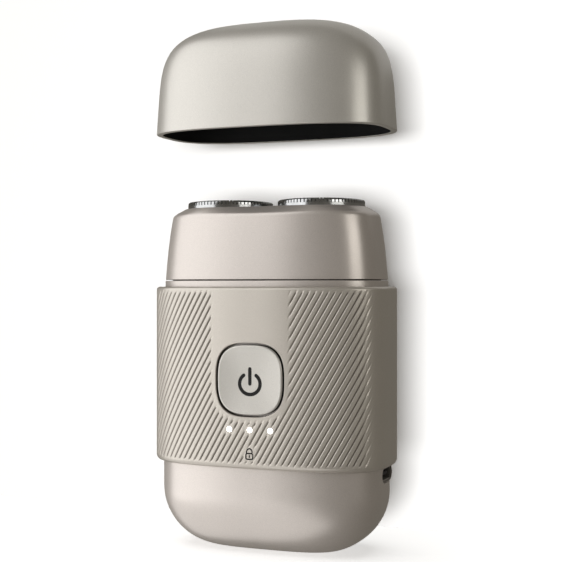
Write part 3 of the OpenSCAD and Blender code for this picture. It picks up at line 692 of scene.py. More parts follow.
def finish(name):
    """A finish by name, made once."""
    made = bpy.data.materials.get(name)
    if made is not None:
        return made
    look = bpy.context.scene.shaver_finish
    cell_low, cell_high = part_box("battery")
    head_low, head_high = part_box("guard_right")
    steel = look.steel
    makers = {
        "casing_champagne": lambda: lacquer(name, look.champagne),
        "cap_champagne": lambda: lacquer(name, look.cap_champagne, 0.33),
        "button_champagne": lambda: lacquer(name, scaled(look.cap_champagne, 0.97), 0.3),
        "band_taupe": lambda: lacquer(name, look.taupe, 0.31, look.groove_shade_colour),
        "trim_champagne": lambda: lacquer(name, scaled(look.champagne, 0.85), 0.26),
        "head_steel": lambda: polished_steel(name, steel, (head_low.x + head_high.x) / 2),
        "sign_ink": lambda: inlay(name, look.ink),
        "lamp_glow": lambda: glowing(name, look.lamp, look.lamp_strength),
        # Black plastic, set far darker than black plastic is, as painted shade inside the cap.
        "liner_black_and_shade": lambda: moulded(name, (0.0012, 0.0012, 0.0012), 0.85, 1800, 0.01 * MM),
        "deck_plastic": lambda: moulded(name, (0.16, 0.145, 0.13), 0.42),
        "frame_grey": lambda: moulded(name, (0.06, 0.064, 0.068), 0.5, 1500, 0.02 * MM, 0.5),
        "black_nylon": lambda: moulded(name, (0.014, 0.014, 0.015), 0.46),
        "seal_silicone": lambda: moulded(name, (0.02, 0.021, 0.022), 0.72, 1200, 0.02 * MM),
        "gear_acetal": lambda: moulded(name, (0.62, 0.6, 0.53), 0.36, 1800, 0.008 * MM),
        "magnet_ferrite": lambda: moulded(name, (0.03, 0.03, 0.032), 0.66, 900, 0.04 * MM, 0.8),
        "blade_steel": lambda: plain_metal(name, steel, 0.2, (1, 1, 0.1)),
        "screw_steel": lambda: plain_metal(name, (0.5, 0.51, 0.52), 0.26, (1, 1, 0.15)),
        "motor_steel": lambda: plain_metal(name, (0.42, 0.43, 0.44), 0.3, (1, 1, 0.04), 2400),
        "port_steel": lambda: plain_metal(name, (0.6, 0.58, 0.55), 0.34, (0.1, 1, 1)),
        "bronze": lambda: plain_metal(name, (0.5, 0.33, 0.13), 0.36),
        "board_green": lambda: board_finish(name),
        "copper_winding": lambda: winding_finish(name),
        "cell_wrap": lambda: cell_wrap(name, cell_low.z, cell_high.z),
    }
    return makers[name]()


# ---------------------------------------------------------------------------------------------
# Pieces
# ---------------------------------------------------------------------------------------------


def cut_loop(half, steps=144):
    """Loop of the soft-square button opening, before it is moved to its height."""
    return outline(half, half, np.linspace(0, 2 * math.pi, steps, endpoint=False), BUTTON_SQUARENESS)


def round_loop(radius, steps=40):
    """A round loop."""
    turns = np.linspace(0, 2 * math.pi, steps, endpoint=False)
    return radius * np.column_stack((np.cos(turns), np.sin(turns)))


def button_centre():
    """Centre height of the power button."""
    low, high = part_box("power_button")
    return (low.z + high.z) / 2


def button_opening():
    """Half width of the button's opening in the band."""
    return top("power_button").x + BUTTON_GAP


def light_places():
    """Centres of the three status lights as (x, z)."""
    low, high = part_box("light_pipes")
    flange = (high.z - low.z) / 2
    reach = high.x - flange
    return [(x, low.z + flange) for x in (-reach, 0.0, reach)]


def padlock_strokes(grown=0.0):
    """The padlock's body, shackle and keyhole as (path, width, closed)."""
    low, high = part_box("lock_symbol")
    line = 0.3 * MM
    body_half = high.x - line / 2
    body_low = low.z + line / 2
    body_high = low.z + 1.7 * MM - line / 2
    corner = 0.35 * MM
    middle = (body_low + body_high) / 2
    half_height = (body_high - body_low) / 2
    body = []
    for cx, cz, start in (
        (body_half - corner, half_height - corner, 0), (-body_half + corner, half_height - corner, 90),
        (-body_half + corner, -half_height + corner, 180), (body_half - corner, -half_height + corner, 270),
    ):
        for step in range(9):
            turn = math.radians(start + step * 90 / 8)
            body.append((cx + corner * math.cos(turn), middle + cz + corner * math.sin(turn)))
    arch_radius = high.z - body_high - line / 2 - 0.45 * MM
    arch_z = high.z - line / 2 - arch_radius
    arch = [(arch_radius, body_high + line / 2)]
    for step in range(17):
        turn = math.pi * step / 16
        arch.append((arch_radius * math.cos(turn), arch_z + arch_radius * math.sin(turn)))
    arch.append((-arch_radius, body_high + line / 2))
    keyhole = [(0.0, middle - 0.2 * MM), (0.0, middle), (0.0, middle + 0.2 * MM)]
    return [
        (body, line + grown, True), (arch, line * 0.9 + grown, False), (keyhole, line * 0.9 + grown, False)
    ]


def power_strokes(grown=0.0):
    """The open ring and the bar of the power sign as (path, width, closed)."""
    low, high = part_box("power_symbol")
    radius = high.x
    centre_z = low.z + radius
    stroke = 0.84 * MM
    middle_radius = radius - stroke / 2
    opening = math.radians(37)
    turns = np.linspace(math.pi / 2 + opening, math.pi * 2.5 - opening, 73)
    wide = 1.05
    arc = [(wide * middle_radius * math.cos(t), centre_z + middle_radius * math.sin(t)) for t in turns]
    bar = [(0.0, z) for z in np.linspace(centre_z, high.z - stroke / 2, 5)]
    return [(arc, stroke + grown, False), (bar, stroke + grown, False)]


def stroke_objects(name, strokes, front, back):
    """One closed cutter for each stroke."""
    return [
        new_object(f"{name}_{i}", *ribbon(path, width, front, back, closed), recalculate=True)
        for i, (path, width, closed) in enumerate(strokes)
    ]


def stroke_inlay(name, strokes, front, back, edge):
    """All strokes as one inlaid piece."""
    parts = [ribbon(path, width, front, back, closed, edge) for path, width, closed in strokes]
    return new_object(name, *join_parts(parts), recalculate=True)


class ShaverOperator(bpy.types.Operator):
    """Base of the operators that build one piece or a group of like pieces"""

    bl_options = {"REGISTER", "UNDO"}

    def execute(self, context):
        self.build(context.scene.shaver_shape)
        return {"FINISHED"}


class SHAVER_OT_casing(ShaverOperator):
    """Build the lower casing with its rounded foot and the charging opening"""

    bl_idname = "shaver.casing"
    bl_label = "Casing"

    def build(self, shape):
        low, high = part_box("casing")
        turns = even_turns(high.x, high.y, shape.squareness, shape.outline_steps)

        def ring(inset, angle):
            radius = shape.foot_radius - inset
            tuck = shape.foot_tuck * radius / shape.foot_radius
            gone = 1 - math.sin(angle)
            return plan_ring(
                high.x - inset - radius * gone, high.y - inset - tuck * gone, turns, shape,
                shape.foot_radius - radius * math.cos(angle),
            )

        bend = np.radians(np.linspace(0, 90, 31))
        outside = [ring(0, t) for t in bend]
        outside += [level(outside[-1][:, :2], z) for z in np.linspace(shape.foot_radius, high.z, 12)[1:]]
        inside = [ring(CASING_WALL, t) for t in bend[::-3]]
        rim = level(inside[0][:, :2], high.z)
        piece = new_object("casing_shell", *skin(outside + [rim] + inside))
        carve(piece, [self.port_cutter(high)] + self.front_cutters(low))
        finish_piece(piece, "body", finish("casing_champagne"), ["casing"])

    def front_cutters(self, low):
        """Cutters for the button's recess, its plunger and the light guides, all behind the band."""
        inner = low.y + 3 * MM
        centre = (0.0, button_centre())
        jobs = [(cut_loop(button_opening(), 96), centre, low.y + BUTTON_RECESS)]
        jobs += [(round_loop(2.65 * MM), centre, inner)]
        jobs += [(round_loop(0.8 * MM, 24), place, inner) for place in light_places()]
        return [
            new_object(
                f"front_cutter_{i}",
                *skin(front_rings(loop + np.array(place), [(0.0, back), (0.0, low.y - 1 * MM)])),
                recalculate=True,
            )
            for i, (loop, place, back) in enumerate(jobs)
        ]

    def port_cutter(self, high):
        """Stadium-shaped cutter with a flared mouth, for the charging port."""
        low, top_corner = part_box("port_shell")
        half_w = (top_corner.y - low.y) / 2 + 0.33 * MM
        half_h = (top_corner.z - low.z) / 2 + 0.28 * MM
        flare = 0.35 * MM
        y = (top_corner.y + low.y) / 2
        z = (top_corner.z + low.z) / 2
        turns = np.linspace(-math.pi / 2, math.pi / 2, 21)
        right = np.column_stack((half_w - half_h + half_h * np.cos(turns), half_h * np.sin(turns)))
        loop = np.concatenate((right, -right))
        out = outward(loop)
        rings = [
            np.column_stack((
                np.full(len(loop), x), y + loop[:, 0] + out[:, 0] * away, z + loop[:, 1] + out[:, 1] * away
            ))
            for away, x in ((0.0, high.x - 4 * MM), (0.0, high.x - flare), (flare, high.x + 2 * MM))
        ]
        return new_object("port_cutter", *skin(rings), recalculate=True)

class SHAVER_OT_grip_band(ShaverOperator):
    """Build the grip band with its diagonal grooves and its openings"""

    bl_idname = "shaver.grip_band"
    bl_label = "Grip band"

    def build(self, shape):
        low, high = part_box("grip_band")
        a = high.x
        b = high.y
        bore = top("casing").x + BAND_PLAY
        bore_b = top("casing").y + BAND_PLAY
        fine = np.linspace(FRONT, FRONT + 2 * math.pi, FINE_STEPS)
        walked = walk(outline(a, b, fine, shape.squareness))
        around = walked[-1]
        grooves = round(around / shape.groove_pitch)
        pitch = around / grooves
        half = shape.groove_width / 2
        lip = 0.08 * MM
        section = [
            (-half - lip, 0.0), (-half, 0.05), (-0.25 * half, 1.0), (0.25 * half, 1.0), (half, 0.05),
            (half + lip, 0.0), (pitch / 2, 0.0),
        ]
        starts = np.array([k * pitch + offset for k in range(grooves) for offset, _ in section])
        deep = np.array([share for _, share in section] * grooves)
        field_low = low.z + shape.field_foot
        field_high = high.z - shape.field_top
        straight_low = low.z + shape.band_foot_bevel
        straight_high = high.z - shape.band_top_bevel
        lean = math.tan(shape.groove_lean)

        def turns_at(z):
            along = shape.groove_start + starts + (z - field_low) * lean
            return np.interp(along % around, walked, fine)

        def smooth_ring(z, inset):
            return plan_ring(a - inset, b - inset, turns_at(z), shape, z)

        def bore_ring(z):
            return plan_ring(bore, bore_b, turns_at(z), shape, z)

        def grooved_ring(z):
            face = outline(a, b, turns_at(z), shape.squareness)
            depth = deep * shape.groove_depth * self.field(shape, face, z, field_low, field_high)
            gradient = np.column_stack([
                np.sign(face[:, i]) * np.abs(face[:, i] / size) ** (shape.squareness - 1) / size
                for i, size in enumerate((a, b))
            ])
            return level(face - gradient / np.linalg.norm(gradient, axis=1)[:, None] * depth[:, None], z)

        foot_edge = quarter(shape.band_foot_bevel, 8)[::-1]
        top_edge = quarter(shape.band_top_bevel, 7)
        rings = [bore_ring(low.z)]
        rings += [smooth_ring(low.z + short, inset) for inset, short in foot_edge]
        rings += [grooved_ring(z) for z in np.linspace(straight_low, straight_high, 100)[1:-1]]
        rings += [smooth_ring(high.z - short, inset) for inset, short in top_edge]
        rings += [bore_ring(high.z)]
        piece = new_object("band_sleeve", *skin(rings, loop=True))
        carve(piece, self.cutters(shape, a, b))
        self.store_depth(piece, shape, a, b, straight_low, straight_high)
        finish_piece(piece, "body", finish("band_taupe"), ["grip_band"], math.radians(75))

    def field(self, shape, face, z, field_low, field_high):
        """Share of the full groove depth at points of the face: 1 in the field, 0 on smooth ground."""
        x = face[:, 0]
        fade = (shape.field_side - np.abs(x)) / shape.side_fade * shape.field_edge
        room = np.minimum(fade, min(z - field_low, field_high - z))
        front = face[:, 1] < 0
        centre = button_centre()
        half = button_opening() + shape.button_margin
        power = BUTTON_SQUARENESS
        reach = (np.abs(x / half) ** power + np.abs((z - centre) / half) ** power) ** (1 / power)
        smooth = (reach - 1) * half
        if z > centre:
            smooth = np.minimum(smooth, np.abs(x) - shape.strip_half)
        for light_x, light_z in light_places():
            smooth = np.minimum(smooth, np.hypot(x - light_x, z - light_z) - shape.light_margin)
        lock_low, lock_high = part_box("lock_symbol")
        lock_mid = (lock_low.z + lock_high.z) / 2
        lock = np.maximum(
            np.abs(x) - lock_high.x - 0.35 * MM, abs(z - lock_mid) - (lock_high.z - lock_mid) - 0.3 * MM
        )
        smooth = np.minimum(smooth, lock)
        room = np.where(front, np.minimum(room, smooth), room)
        return np.clip(room / shape.field_edge, 0, 1)

    def cutters(self, shape, a, b):
        """Cutters for the button's opening, the light guides and the padlock's inlay."""
        behind = -13.6 * MM
        ahead = -18.5 * MM
        flare_end = math.radians(14)
        flat = a * 0.9

        def face(x, sunk):
            return -side_depth(a, b, np.clip(x, -flat, flat), shape.squareness) + sunk

        jobs = [("button_cutter", cut_loop(button_opening()), (0.0, button_centre()), 0.28 * MM)]
        for i, place in enumerate(light_places()):
            jobs.append((f"light_cutter_{i}", round_loop(LIGHT_RADIUS + 0.04 * MM), place, 0.1 * MM))
        made = []
        for name, loop, place, edge in jobs:
            stations = [(0.0, behind)]
            for t in np.linspace(math.radians(90), flare_end, 7):
                sunk = edge * (1 - math.cos(t))
                stations.append((edge * (1 - math.sin(t)), partial(face, sunk=sunk)))
            stations.append((edge * (1 - math.sin(flare_end)), ahead))
            rings = front_rings(loop + np.array(place), stations)
            made.append(new_object(name, *skin(rings), recalculate=True))
        front = foot("lock_symbol").y
        strokes = padlock_strokes(SIGN_PLAY)
        return made + stroke_objects("padlock_cutter", strokes, front - 1.5 * MM, front + 0.3 * MM)

    def store_depth(self, piece, shape, a, b, straight_low, straight_high):
        """Stores how deep each point lies below the face, for the painted shade in the grooves."""
        mesh = piece.data
        flat = np.zeros(len(mesh.vertices) * 3)
        mesh.vertices.foreach_get("co", flat)
        at = flat.reshape(-1, 3)
        reach = (np.abs(at[:, 0] / a) ** shape.squareness + np.abs(at[:, 1] / b) ** shape.squareness)
        reach = reach ** (1 / shape.squareness)
        depth = (1 - reach) * np.hypot(at[:, 0], at[:, 1])
        inside = (at[:, 2] > straight_low) & (at[:, 2] < straight_high)
        share = np.where(inside, np.clip(depth / shape.groove_depth, 0, 1), 0.0)
        stored = mesh.attributes.new("groove", "FLOAT", "POINT")
        stored.data.foreach_set("value", share.astype(np.float32))


class SHAVER_OT_signs(ShaverOperator):
    """Build the inlaid padlock and power signs"""

    bl_idname = "shaver.signs"
    bl_label = "Signs"

    def build(self, shape):
        edge = 0.04 * MM
        front = foot("lock_symbol").y
        lock = stroke_inlay("padlock_sign", padlock_strokes(), front, front + 0.2 * MM, edge)
        finish_piece(lock, "body", finish("sign_ink"), ["lock_symbol"])
        front = foot("power_symbol").y + 0.24 * MM
        power = stroke_inlay("power_sign", power_strokes(), front, front + 0.2 * MM, edge)
        finish_piece(power, "power_button", finish("sign_ink"), ["power_symbol"])


class SHAVER_OT_light_guides(ShaverOperator):
    """Build the three lit light guides with domed tips"""

    bl_idname = "shaver.light_guides"
    bl_label = "Light guides"

    def build(self, shape):
        low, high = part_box("light_pipes")
        dome = 0.05 * MM
        stations = [(0.0, high.y), (0.0, low.y + dome)]
        for t in np.linspace(0, math.radians(86), 8)[1:]:
            stations.append((-LIGHT_RADIUS * (1 - math.cos(t)), low.y + dome * (1 - math.sin(t))))
        loop = round_loop(LIGHT_RADIUS)
        parts = [skin(front_rings(loop + np.array(place), stations)) for place in light_places()]
        piece = new_object("light_guides", *join_parts(parts), recalculate=True)
        finish_piece(piece, "body", finish("lamp_glow"), ["light_pipes"])


class SHAVER_OT_power_button(ShaverOperator):
    """Build the power button: a softly dished cap with a rounded edge, on its plunger"""

    bl_idname = "shaver.power_button"
    bl_label = "Power button"

    def build(self, shape):
        low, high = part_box("power_button")
        half = high.x
        centre = (low.z + high.z) / 2
        front = low.y
        back = foot("casing").y + BUTTON_RECESS - 0.95 * MM
        edge = 0.4 * MM
        plunger = 2.5 * MM
        loop = cut_loop(half) + np.array([0.0, centre])
        stations = [(0.0, back), (0.0, front + edge)]
        for t in np.linspace(0, math.radians(90), 8)[1:]:
            stations.append((-edge * (1 - math.cos(t)), front + edge * (1 - math.sin(t))))
        rings = front_rings(loop, stations)
        brim = rings[-1]
        for share in (0.985, 0.95, 0.9, 0.8, 0.65, 0.5, 0.35, 0.2, 0.05):
            ring = brim.copy()
            ring[:, 0] *= share
            ring[:, 2] = centre + (ring[:, 2] - centre) * share
            ring[:, 1] = front + BUTTON_DISH * (1 - share ** 2)
            rings.append(ring)
        piece = new_object("power_button_cap", *skin(rings), recalculate=True)
        strokes = power_strokes(SIGN_PLAY)
        carve(piece, stroke_objects("power_cutter", strokes, front - 1.5 * MM, front + 0.53 * MM))
        finish_piece(
            piece, "power_button", finish("button_champagne"), ["power_button"]
        )
        piece.data.materials.append(finish("black_nylon"))
        for face in piece.data.polygons:
            if abs(face.normal.y) < 0.3 and face.center.y > front + 0.7 * edge:
                face.material_index = 1
        stem = np.array([[0.0, centre]]) + round_loop(plunger, 64)
        rings = front_rings(stem, [(-0.2 * MM, high.y), (0.0, high.y - 0.2 * MM), (0.0, back + 0.002 * MM)])
        post = new_object("power_button_stem", *skin(rings), recalculate=True)
        finish_piece(post, "power_button", finish("black_nylon"))


class SHAVER_OT_neck(ShaverOperator):
    """Build the lacquered neck strip that shows between the band and the head unit"""

    bl_idname = "shaver.neck"
    bl_label = "Neck strip"

    def build(self, shape):
        low = top("grip_band").z - 0.9 * MM
        high = foot("head_cover").z - 0.25 * MM
        a = top("top_deck").x
        b = top("top_deck").y
        proud = 0.06 * MM
        wall = 0.5 * MM
        turns = even_turns(a, b, shape.squareness, shape.outline_steps)

        def ring(inset, z):
            return plan_ring(a + proud - inset, b + proud - inset, turns, shape, z)

        rings = [ring(0, low)]
        rings += [ring(inset, high - short) for inset, short in quarter(0.14 * MM, 5)]
        rings += [ring(wall, high), ring(wall, low)]
        piece = new_object("neck_strip", *skin(rings, loop=True))
        finish_piece(piece, "body", finish("casing_champagne"))


class SHAVER_OT_head_cover(ShaverOperator):
    """Build the head cover: leaning sides, a crisp edge and a shoulder pinched between the heads"""

    bl_idname = "shaver.head_cover"
    bl_label = "Head cover"

    def build(self, shape):
        low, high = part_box("head_cover")
        a = high.x
        b = high.y
        lean = shape.cover_lean
        edge_z = high.z - shape.shoulder_height
        head_low, head_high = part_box("guard_right")
        head_x = (head_low.x + head_high.x) / 2
        play = 0.15 * MM
        hole = head_high.x - head_x - HEAD_LIP + play
        rim = hole + 0.45 * MM
        turns = even_turns(a, b, shape.squareness, shape.outline_steps + 80)

        heights = [0.0, 4.0 * MM, edge_z - low.z - 3 * MM, edge_z - low.z - 0.8 * MM]
        leans = [0.0, lean * 0.18, lean * 0.78, lean * 0.98]
        curve = np.polyfit(heights, leans, 3)

        def wall_ring(z):
            inset = float(np.polyval(curve, z - low.z))
            return plan_ring(a - inset, b - inset * 0.5, turns, shape, z)

        def heads_ring(radius, z):
            plan = outline(head_x + radius, radius, turns, shape.squareness)
            x = plan[:, 0]
            outer = np.sqrt(np.maximum(0, radius ** 2 - (np.abs(x) - head_x) ** 2))
            inner = radius - shape.shoulder_dip * np.cos(math.pi / 2 * np.clip(x / head_x, -1, 1)) ** 2
            depth = np.where(np.abs(x) > head_x, outer, inner)
            return level(np.column_stack((x, np.sign(plan[:, 1]) * depth)), z)

        edge = plan_ring(a - lean - 0.15 * MM, b - lean * 0.5 - 0.08 * MM, turns, shape, edge_z)
        crown = heads_ring(rim, high.z)

        def shoulder(t):
            share = t * (0.74 + 0.26 * t)
            ring = edge + (crown - edge) * share
            ring[:, 2] = edge_z + shape.shoulder_height * t
            return ring

        below = wall_ring(edge_z - 0.55 * MM)
        above = shoulder(0.16)
        chamfer = 0.12 * MM
        wall = 1.3 * MM
        ceiling = edge_z - 1.1 * MM
        rings = [
            plan_ring(a - wall - lean - 0.3 * MM, b - wall - lean * 0.5 - 0.2 * MM, turns, shape, ceiling),
            plan_ring(a - wall - lean * 0.8, b - wall - lean * 0.4, turns, shape, ceiling - 3 * MM),
            plan_ring(a - wall, b - wall, turns, shape, low.z),
            plan_ring(a - chamfer, b - chamfer, turns, shape, low.z),
            wall_ring(low.z + chamfer),
        ]
        rings += [wall_ring(z) for z in np.linspace(low.z + 0.6 * MM, edge_z - 0.9 * MM, 26)]
        rings += [
            below * (1 - t) ** 2 + edge * 2 * t * (1 - t) + above * t ** 2 for t in np.linspace(0, 1, 8)
        ]
        rings += [shoulder(t) for t in np.linspace(0.24, 0.94, 12)]
        rings += [shoulder(0.975), heads_ring(rim - 0.06 * MM, high.z)]
        piece = new_object("head_cover_shell", *skin(rings))
        flange = head_high.x - head_x + play
        flange_top = head_low.z + HEAD_FLANGE + play
        profile = [
            (flange, ceiling - 3 * MM), (flange, flange_top), (hole, flange_top),
            (hole, high.z - 0.14 * MM), (hole + 0.04 * MM, high.z - 0.05 * MM),
            (hole + 0.12 * MM, high.z), (hole + 0.12 * MM, high.z + 1 * MM),
        ]
        for x in (-head_x, head_x):
            carve(piece, [new_object("head_cutter", *revolve(profile, 256, x), recalculate=True)])
        finish_piece(piece, "head_unit", finish("casing_champagne"), ["head_cover"])


class SHAVER_OT_shaving_heads(ShaverOperator):
    """Build both slotted steel heads and their centre caps"""

    bl_idname = "shaver.shaving_heads"
    bl_label = "Shaving heads"

    def build(self, shape):
        for side in ("left", "right"):
            low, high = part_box(f"guard_{side}")
            x = (low.x + high.x) / 2
            points, faces = self.guard(shape, (high.x - low.x) / 2, low.z, high.z)
            points = points + np.array([x, 0.0, 0.0])
            guard = new_object(f"shaving_head_{side}", points, faces, recalculate=True)
            finish_piece(
                guard, f"head_{side}", finish("head_steel"), [f"guard_{side}"],
                math.radians(40),
            )
            trim = new_object(f"head_cap_{side}", *self.centre_cap(side, x), recalculate=True)
            finish_piece(
                trim, f"head_{side}", finish("trim_champagne"), [f"head_trim_{side}"]
            )

    def guard(self, shape, flange_r, low, high):
        """A thick turned shell on a grid of columns and stations, open where its slots are."""
        stations, slot_rows = self.guard_stations(flange_r, low, high)
        sector = 2 * math.pi / shape.slots
        spread = ((-0.5, 0.0), (0.5, 0.0), (0.5, 0.25), (0.5, 0.5), (0.5, 0.75))
        columns = [((k + 0.5) * sector, edge, share) for k in range(shape.slots) for edge, share in spread]
        count = len(columns)
        rows = len(stations)
        points = []
        for surface in (0, 1):
            for station in stations:
                r, z = station[surface]
                reach = math.asin(min(1.0, shape.slot_width / 2 / r))
                for middle, edge, share in columns:
                    turn = middle + 2 * edge * reach
                    turn += share * (sector - 2 * reach)
                    points.append((r * math.cos(turn), r * math.sin(turn), z))

        def at(surface, row, column):
            return surface * rows * count + row * count + column % count

        faces = []
        for row in range(rows - 1):
            for column in range(count):
                if row in slot_rows and column % len(spread) == 0:
                    for side in (column, column + 1):
                        faces.append([
                            at(0, row, side), at(0, row + 1, side), at(1, row + 1, side), at(1, row, side)
                        ])
                    continue
                for surface in (0, 1):
                    faces.append([
                        at(surface, row, column), at(surface, row, column + 1),
                        at(surface, row + 1, column + 1), at(surface, row + 1, column),
                    ])
        for column in range(count):
            closing = [0, rows - 1]
            if column % len(spread) == 0:
                closing += [slot_rows.start, slot_rows.stop]
            for row in closing:
                faces.append([
                    at(0, row, column), at(0, row, column + 1), at(1, row, column + 1), at(1, row, column)
                ])
        return np.array(points), faces

    def guard_stations(self, flange_r, low, high):
        """Outer and inner (radius, height) from the hole to the flange, and the rows that have slots."""
        outer_r = flange_r - HEAD_LIP
        inner_r = outer_r - 0.7 * MM
        under = high - 1.05 * MM
        hole_r = outer_r * 0.51
        slot_r = hole_r + 0.8 * MM
        round_r = 0.5 * MM
        slot_foot = under - 0.15 * MM
        flange_top = low + HEAD_FLANGE
        chamfer = 0.1 * MM
        stations = []
        for share in np.linspace(0, 1, 3):
            r = hole_r + (slot_r - hole_r) * share
            stations.append(((r, self.crown(r, outer_r, high)), (r, under)))
        slot_first = len(stations) - 1
        for share in np.linspace(0, 1, 8)[1:]:
            r = slot_r + (outer_r - round_r - slot_r) * share
            stations.append(((r, self.crown(r, outer_r, high)), (min(r, inner_r - 0.2 * MM), under)))
        shoulder_z = self.crown(outer_r - round_r, outer_r, high) - round_r
        for t in np.linspace(0, math.pi / 2, 6)[1:]:
            outer = (outer_r - round_r + round_r * math.sin(t), shoulder_z + round_r * math.cos(t))
            inner = (inner_r - 0.2 * MM * (1 - math.sin(t)), under - 0.02 * MM * math.sin(t))
            stations.append((outer, inner))
        slot_last = len(stations)
        for share in (0.0, 0.3, 0.6, 0.97):
            z = slot_foot + (flange_top - slot_foot) * share
            stations.append(((outer_r, z), (inner_r, z)))
        stations += [
            ((outer_r + chamfer, flange_top), (inner_r, flange_top)),
            ((flange_r - chamfer, flange_top), (inner_r, flange_top - 0.2 * MM)),
            ((flange_r, flange_top - chamfer), (inner_r, flange_top - 0.4 * MM)),
            ((flange_r, low), (inner_r, low)),
        ]
        return stations, range(slot_first, slot_last)

    def crown(self, r, outer_r, high):
        """Height of the gently crowned top of a head at a radius."""
        middle = outer_r * 0.75
        return high - 0.15 * MM * ((r - middle) / (outer_r - 0.5 * MM - middle)) ** 2

    def centre_cap(self, side, x):
        """The centre cap with its turned face and the boss that centres the cutter."""
        low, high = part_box(f"head_trim_{side}")
        flange_r = (high.x - low.x) / 2
        disc_r = flange_r - 0.65 * MM
        flange_z = high.z - 0.9 * MM
        flange_foot = high.z - 1.45 * MM
        boss_r = 2.6 * MM
        bore_r = 1.54 * MM
        bore_z = low.z + 2.7 * MM
        groove_r = 4.2 * MM
        groove_z = high.z - 0.14 * MM
        centre_r = 0.02 * MM
        profile = [
            (centre_r, bore_z), (bore_r, bore_z), (bore_r, low.z), (boss_r, low.z), (boss_r, flange_foot),
            (flange_r, flange_foot), (flange_r, flange_z), (disc_r, flange_z), (disc_r, high.z - 0.22 * MM),
            (disc_r - 0.07 * MM, high.z - 0.07 * MM), (disc_r - 0.25 * MM, high.z),
        ]
        profile += [(r, high.z - 0.10 * MM * (1 - r / disc_r)) for r in (4.9 * MM, 4.5 * MM)]
        profile += [(4.42 * MM, groove_z), (groove_r, groove_z)]
        dished = (4.12 * MM, 3 * MM, 2 * MM, 1 * MM, centre_r)
        profile += [(r, high.z - 0.2 * MM * (1 - (r / groove_r) ** 2)) for r in dished]
        return revolve(profile, 160, x)


def dome_rings(shape, inset, z0, height, turns, rises):
    """Rings of the cap's dome, set in by a wall, at given shares of its rise."""
    high = top("cap_shell")
    rings = []
    for rise in rises:
        left = 1 - rise ** DOME_RISE
        lean = shape.cap_lean * rise
        rings.append(plan_ring(
            (high.x - inset - lean) * left ** (1 / DOME_WIDTH),
            (high.y - inset - lean) * left ** (1 / DOME_DEPTH), turns, shape, z0 + (height - inset) * rise,
        ))
    return rings


def dome_rises(first):
    """Shares of the dome's rise, closer together over the shoulder, from a first share to the crown."""
    side_end = 0.72
    side = np.linspace(first, side_end, 16)
    widths = np.linspace((1 - side_end ** DOME_RISE) ** (1 / DOME_WIDTH), 0.012, 40)[1:]
    return np.concatenate((side, (1 - widths ** DOME_WIDTH) ** (1 / DOME_RISE)))


class SHAVER_OT_cap_shell(ShaverOperator):
    """Build the domed outer shell of the cap with its soft rim"""

    bl_idname = "shaver.cap_shell"
    bl_label = "Cap shell"

    def build(self, shape):
        low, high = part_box("cap_shell")
        wall = 0.9 * MM
        edge = 0.3 * MM
        lip_edge = 0.12 * MM
        turns = even_turns(high.x, high.y, shape.squareness, shape.outline_steps + 64)
        height = high.z - low.z
        outside = dome_rings(shape, 0.0, low.z, height, turns, dome_rises(edge / height))
        inside = dome_rings(shape, wall, low.z, height, turns, dome_rises(0.06))[::-1]
        step_z = foot("cap_liner").z - 0.05 * MM
        stations = [
            (wall, step_z), (shape.cap_rim, step_z), (shape.cap_rim, low.z + lip_edge),
            (shape.cap_rim - lip_edge, low.z),
        ]
        stations += [(inset, low.z + short) for inset, short in quarter(edge, 6)[:0:-1]]
        rim = [plan_ring(high.x - inset, high.y - inset, turns, shape, z) for inset, z in stations]
        piece = new_object("cap_dome", *skin(inside + rim + outside))
        finish_piece(piece, "cap", finish("cap_champagne"), ["cap_shell"])


class SHAVER_OT_cap_liner(ShaverOperator):
    """Build the black liner inside the cap; its near-zero colour is black plastic with painted shade over it
    """

    bl_idname = "shaver.cap_liner"
    bl_label = "Cap liner"

    def build(self, shape):
        low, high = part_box("cap_shell")
        liner_low = foot("cap_liner").z
        outer = 1.0 * MM
        proud = 0.03 * MM
        turns = even_turns(high.x, high.y, shape.squareness, shape.outline_steps)
        height = high.z - low.z
        rises = dome_rises((liner_low - low.z) / height + 0.03)
        outside = dome_rings(shape, outer, low.z, height, turns, rises)
        inside = dome_rings(shape, shape.cap_rim, low.z, height, turns, rises)[::-1]

        def ring(inset, z):
            return plan_ring(high.x - inset, high.y - inset, turns, shape, z)

        rim = [ring(shape.cap_rim, liner_low), ring(outer, liner_low)]
        piece = new_object("cap_lining", *skin(inside + rim + outside))
        finish_piece(piece, "cap", finish("liner_black_and_shade"), ["cap_liner"])
        lip_low = low.z + 0.16 * MM
        lip_high = liner_low + 0.3 * MM
        corners = ((-proud, lip_high), (proud, lip_high), (proud, lip_low), (-proud, lip_low))
        lip = [ring(shape.cap_rim + step, z) for step, z in corners]
        lip_piece = new_object("cap_lip", *skin(lip, loop=True))
        finish_piece(lip_piece, "cap", finish("liner_black_and_shade"))


CAD_FINISHES = {
    "deck_plastic": ["top_deck", "port_gasket"],
    "frame_grey": ["gear_plate", "chassis", "retaining_frame"],
    "black_nylon": [
        "motor_end_cap", "tact_switch", "port_tongue", "spindle_left", "spindle_right", "cutter_carrier_left",
        "cutter_carrier_right", "guard_holder_left", "guard_holder_right",
    ],
    "seal_silicone": ["deck_gasket", "spindle_seals", "button_seal"],
    "screw_steel": [
        "deck_screws", "motor_screws", "board_screws", "gear_axles", "motor_shaft", "spindle_spring_left",
        "spindle_spring_right", "battery_tabs",
    ],
    "port_steel": ["port_shell"],
    "motor_steel": ["motor_can"],
    "magnet_ferrite": ["motor_magnets"],
    "bronze": ["motor_bushing", "drive_pinion"],
    "gear_acetal": ["drive_gear_left", "drive_gear_right"],
    "blade_steel": ["cutter_blades_left", "cutter_blades_right"],
    "cell_wrap": ["battery"],
    "board_green": ["circuit_board", "port_board"],
    "copper_winding": ["motor_armature"],
    "lamp_glow": ["status_leds"],
}


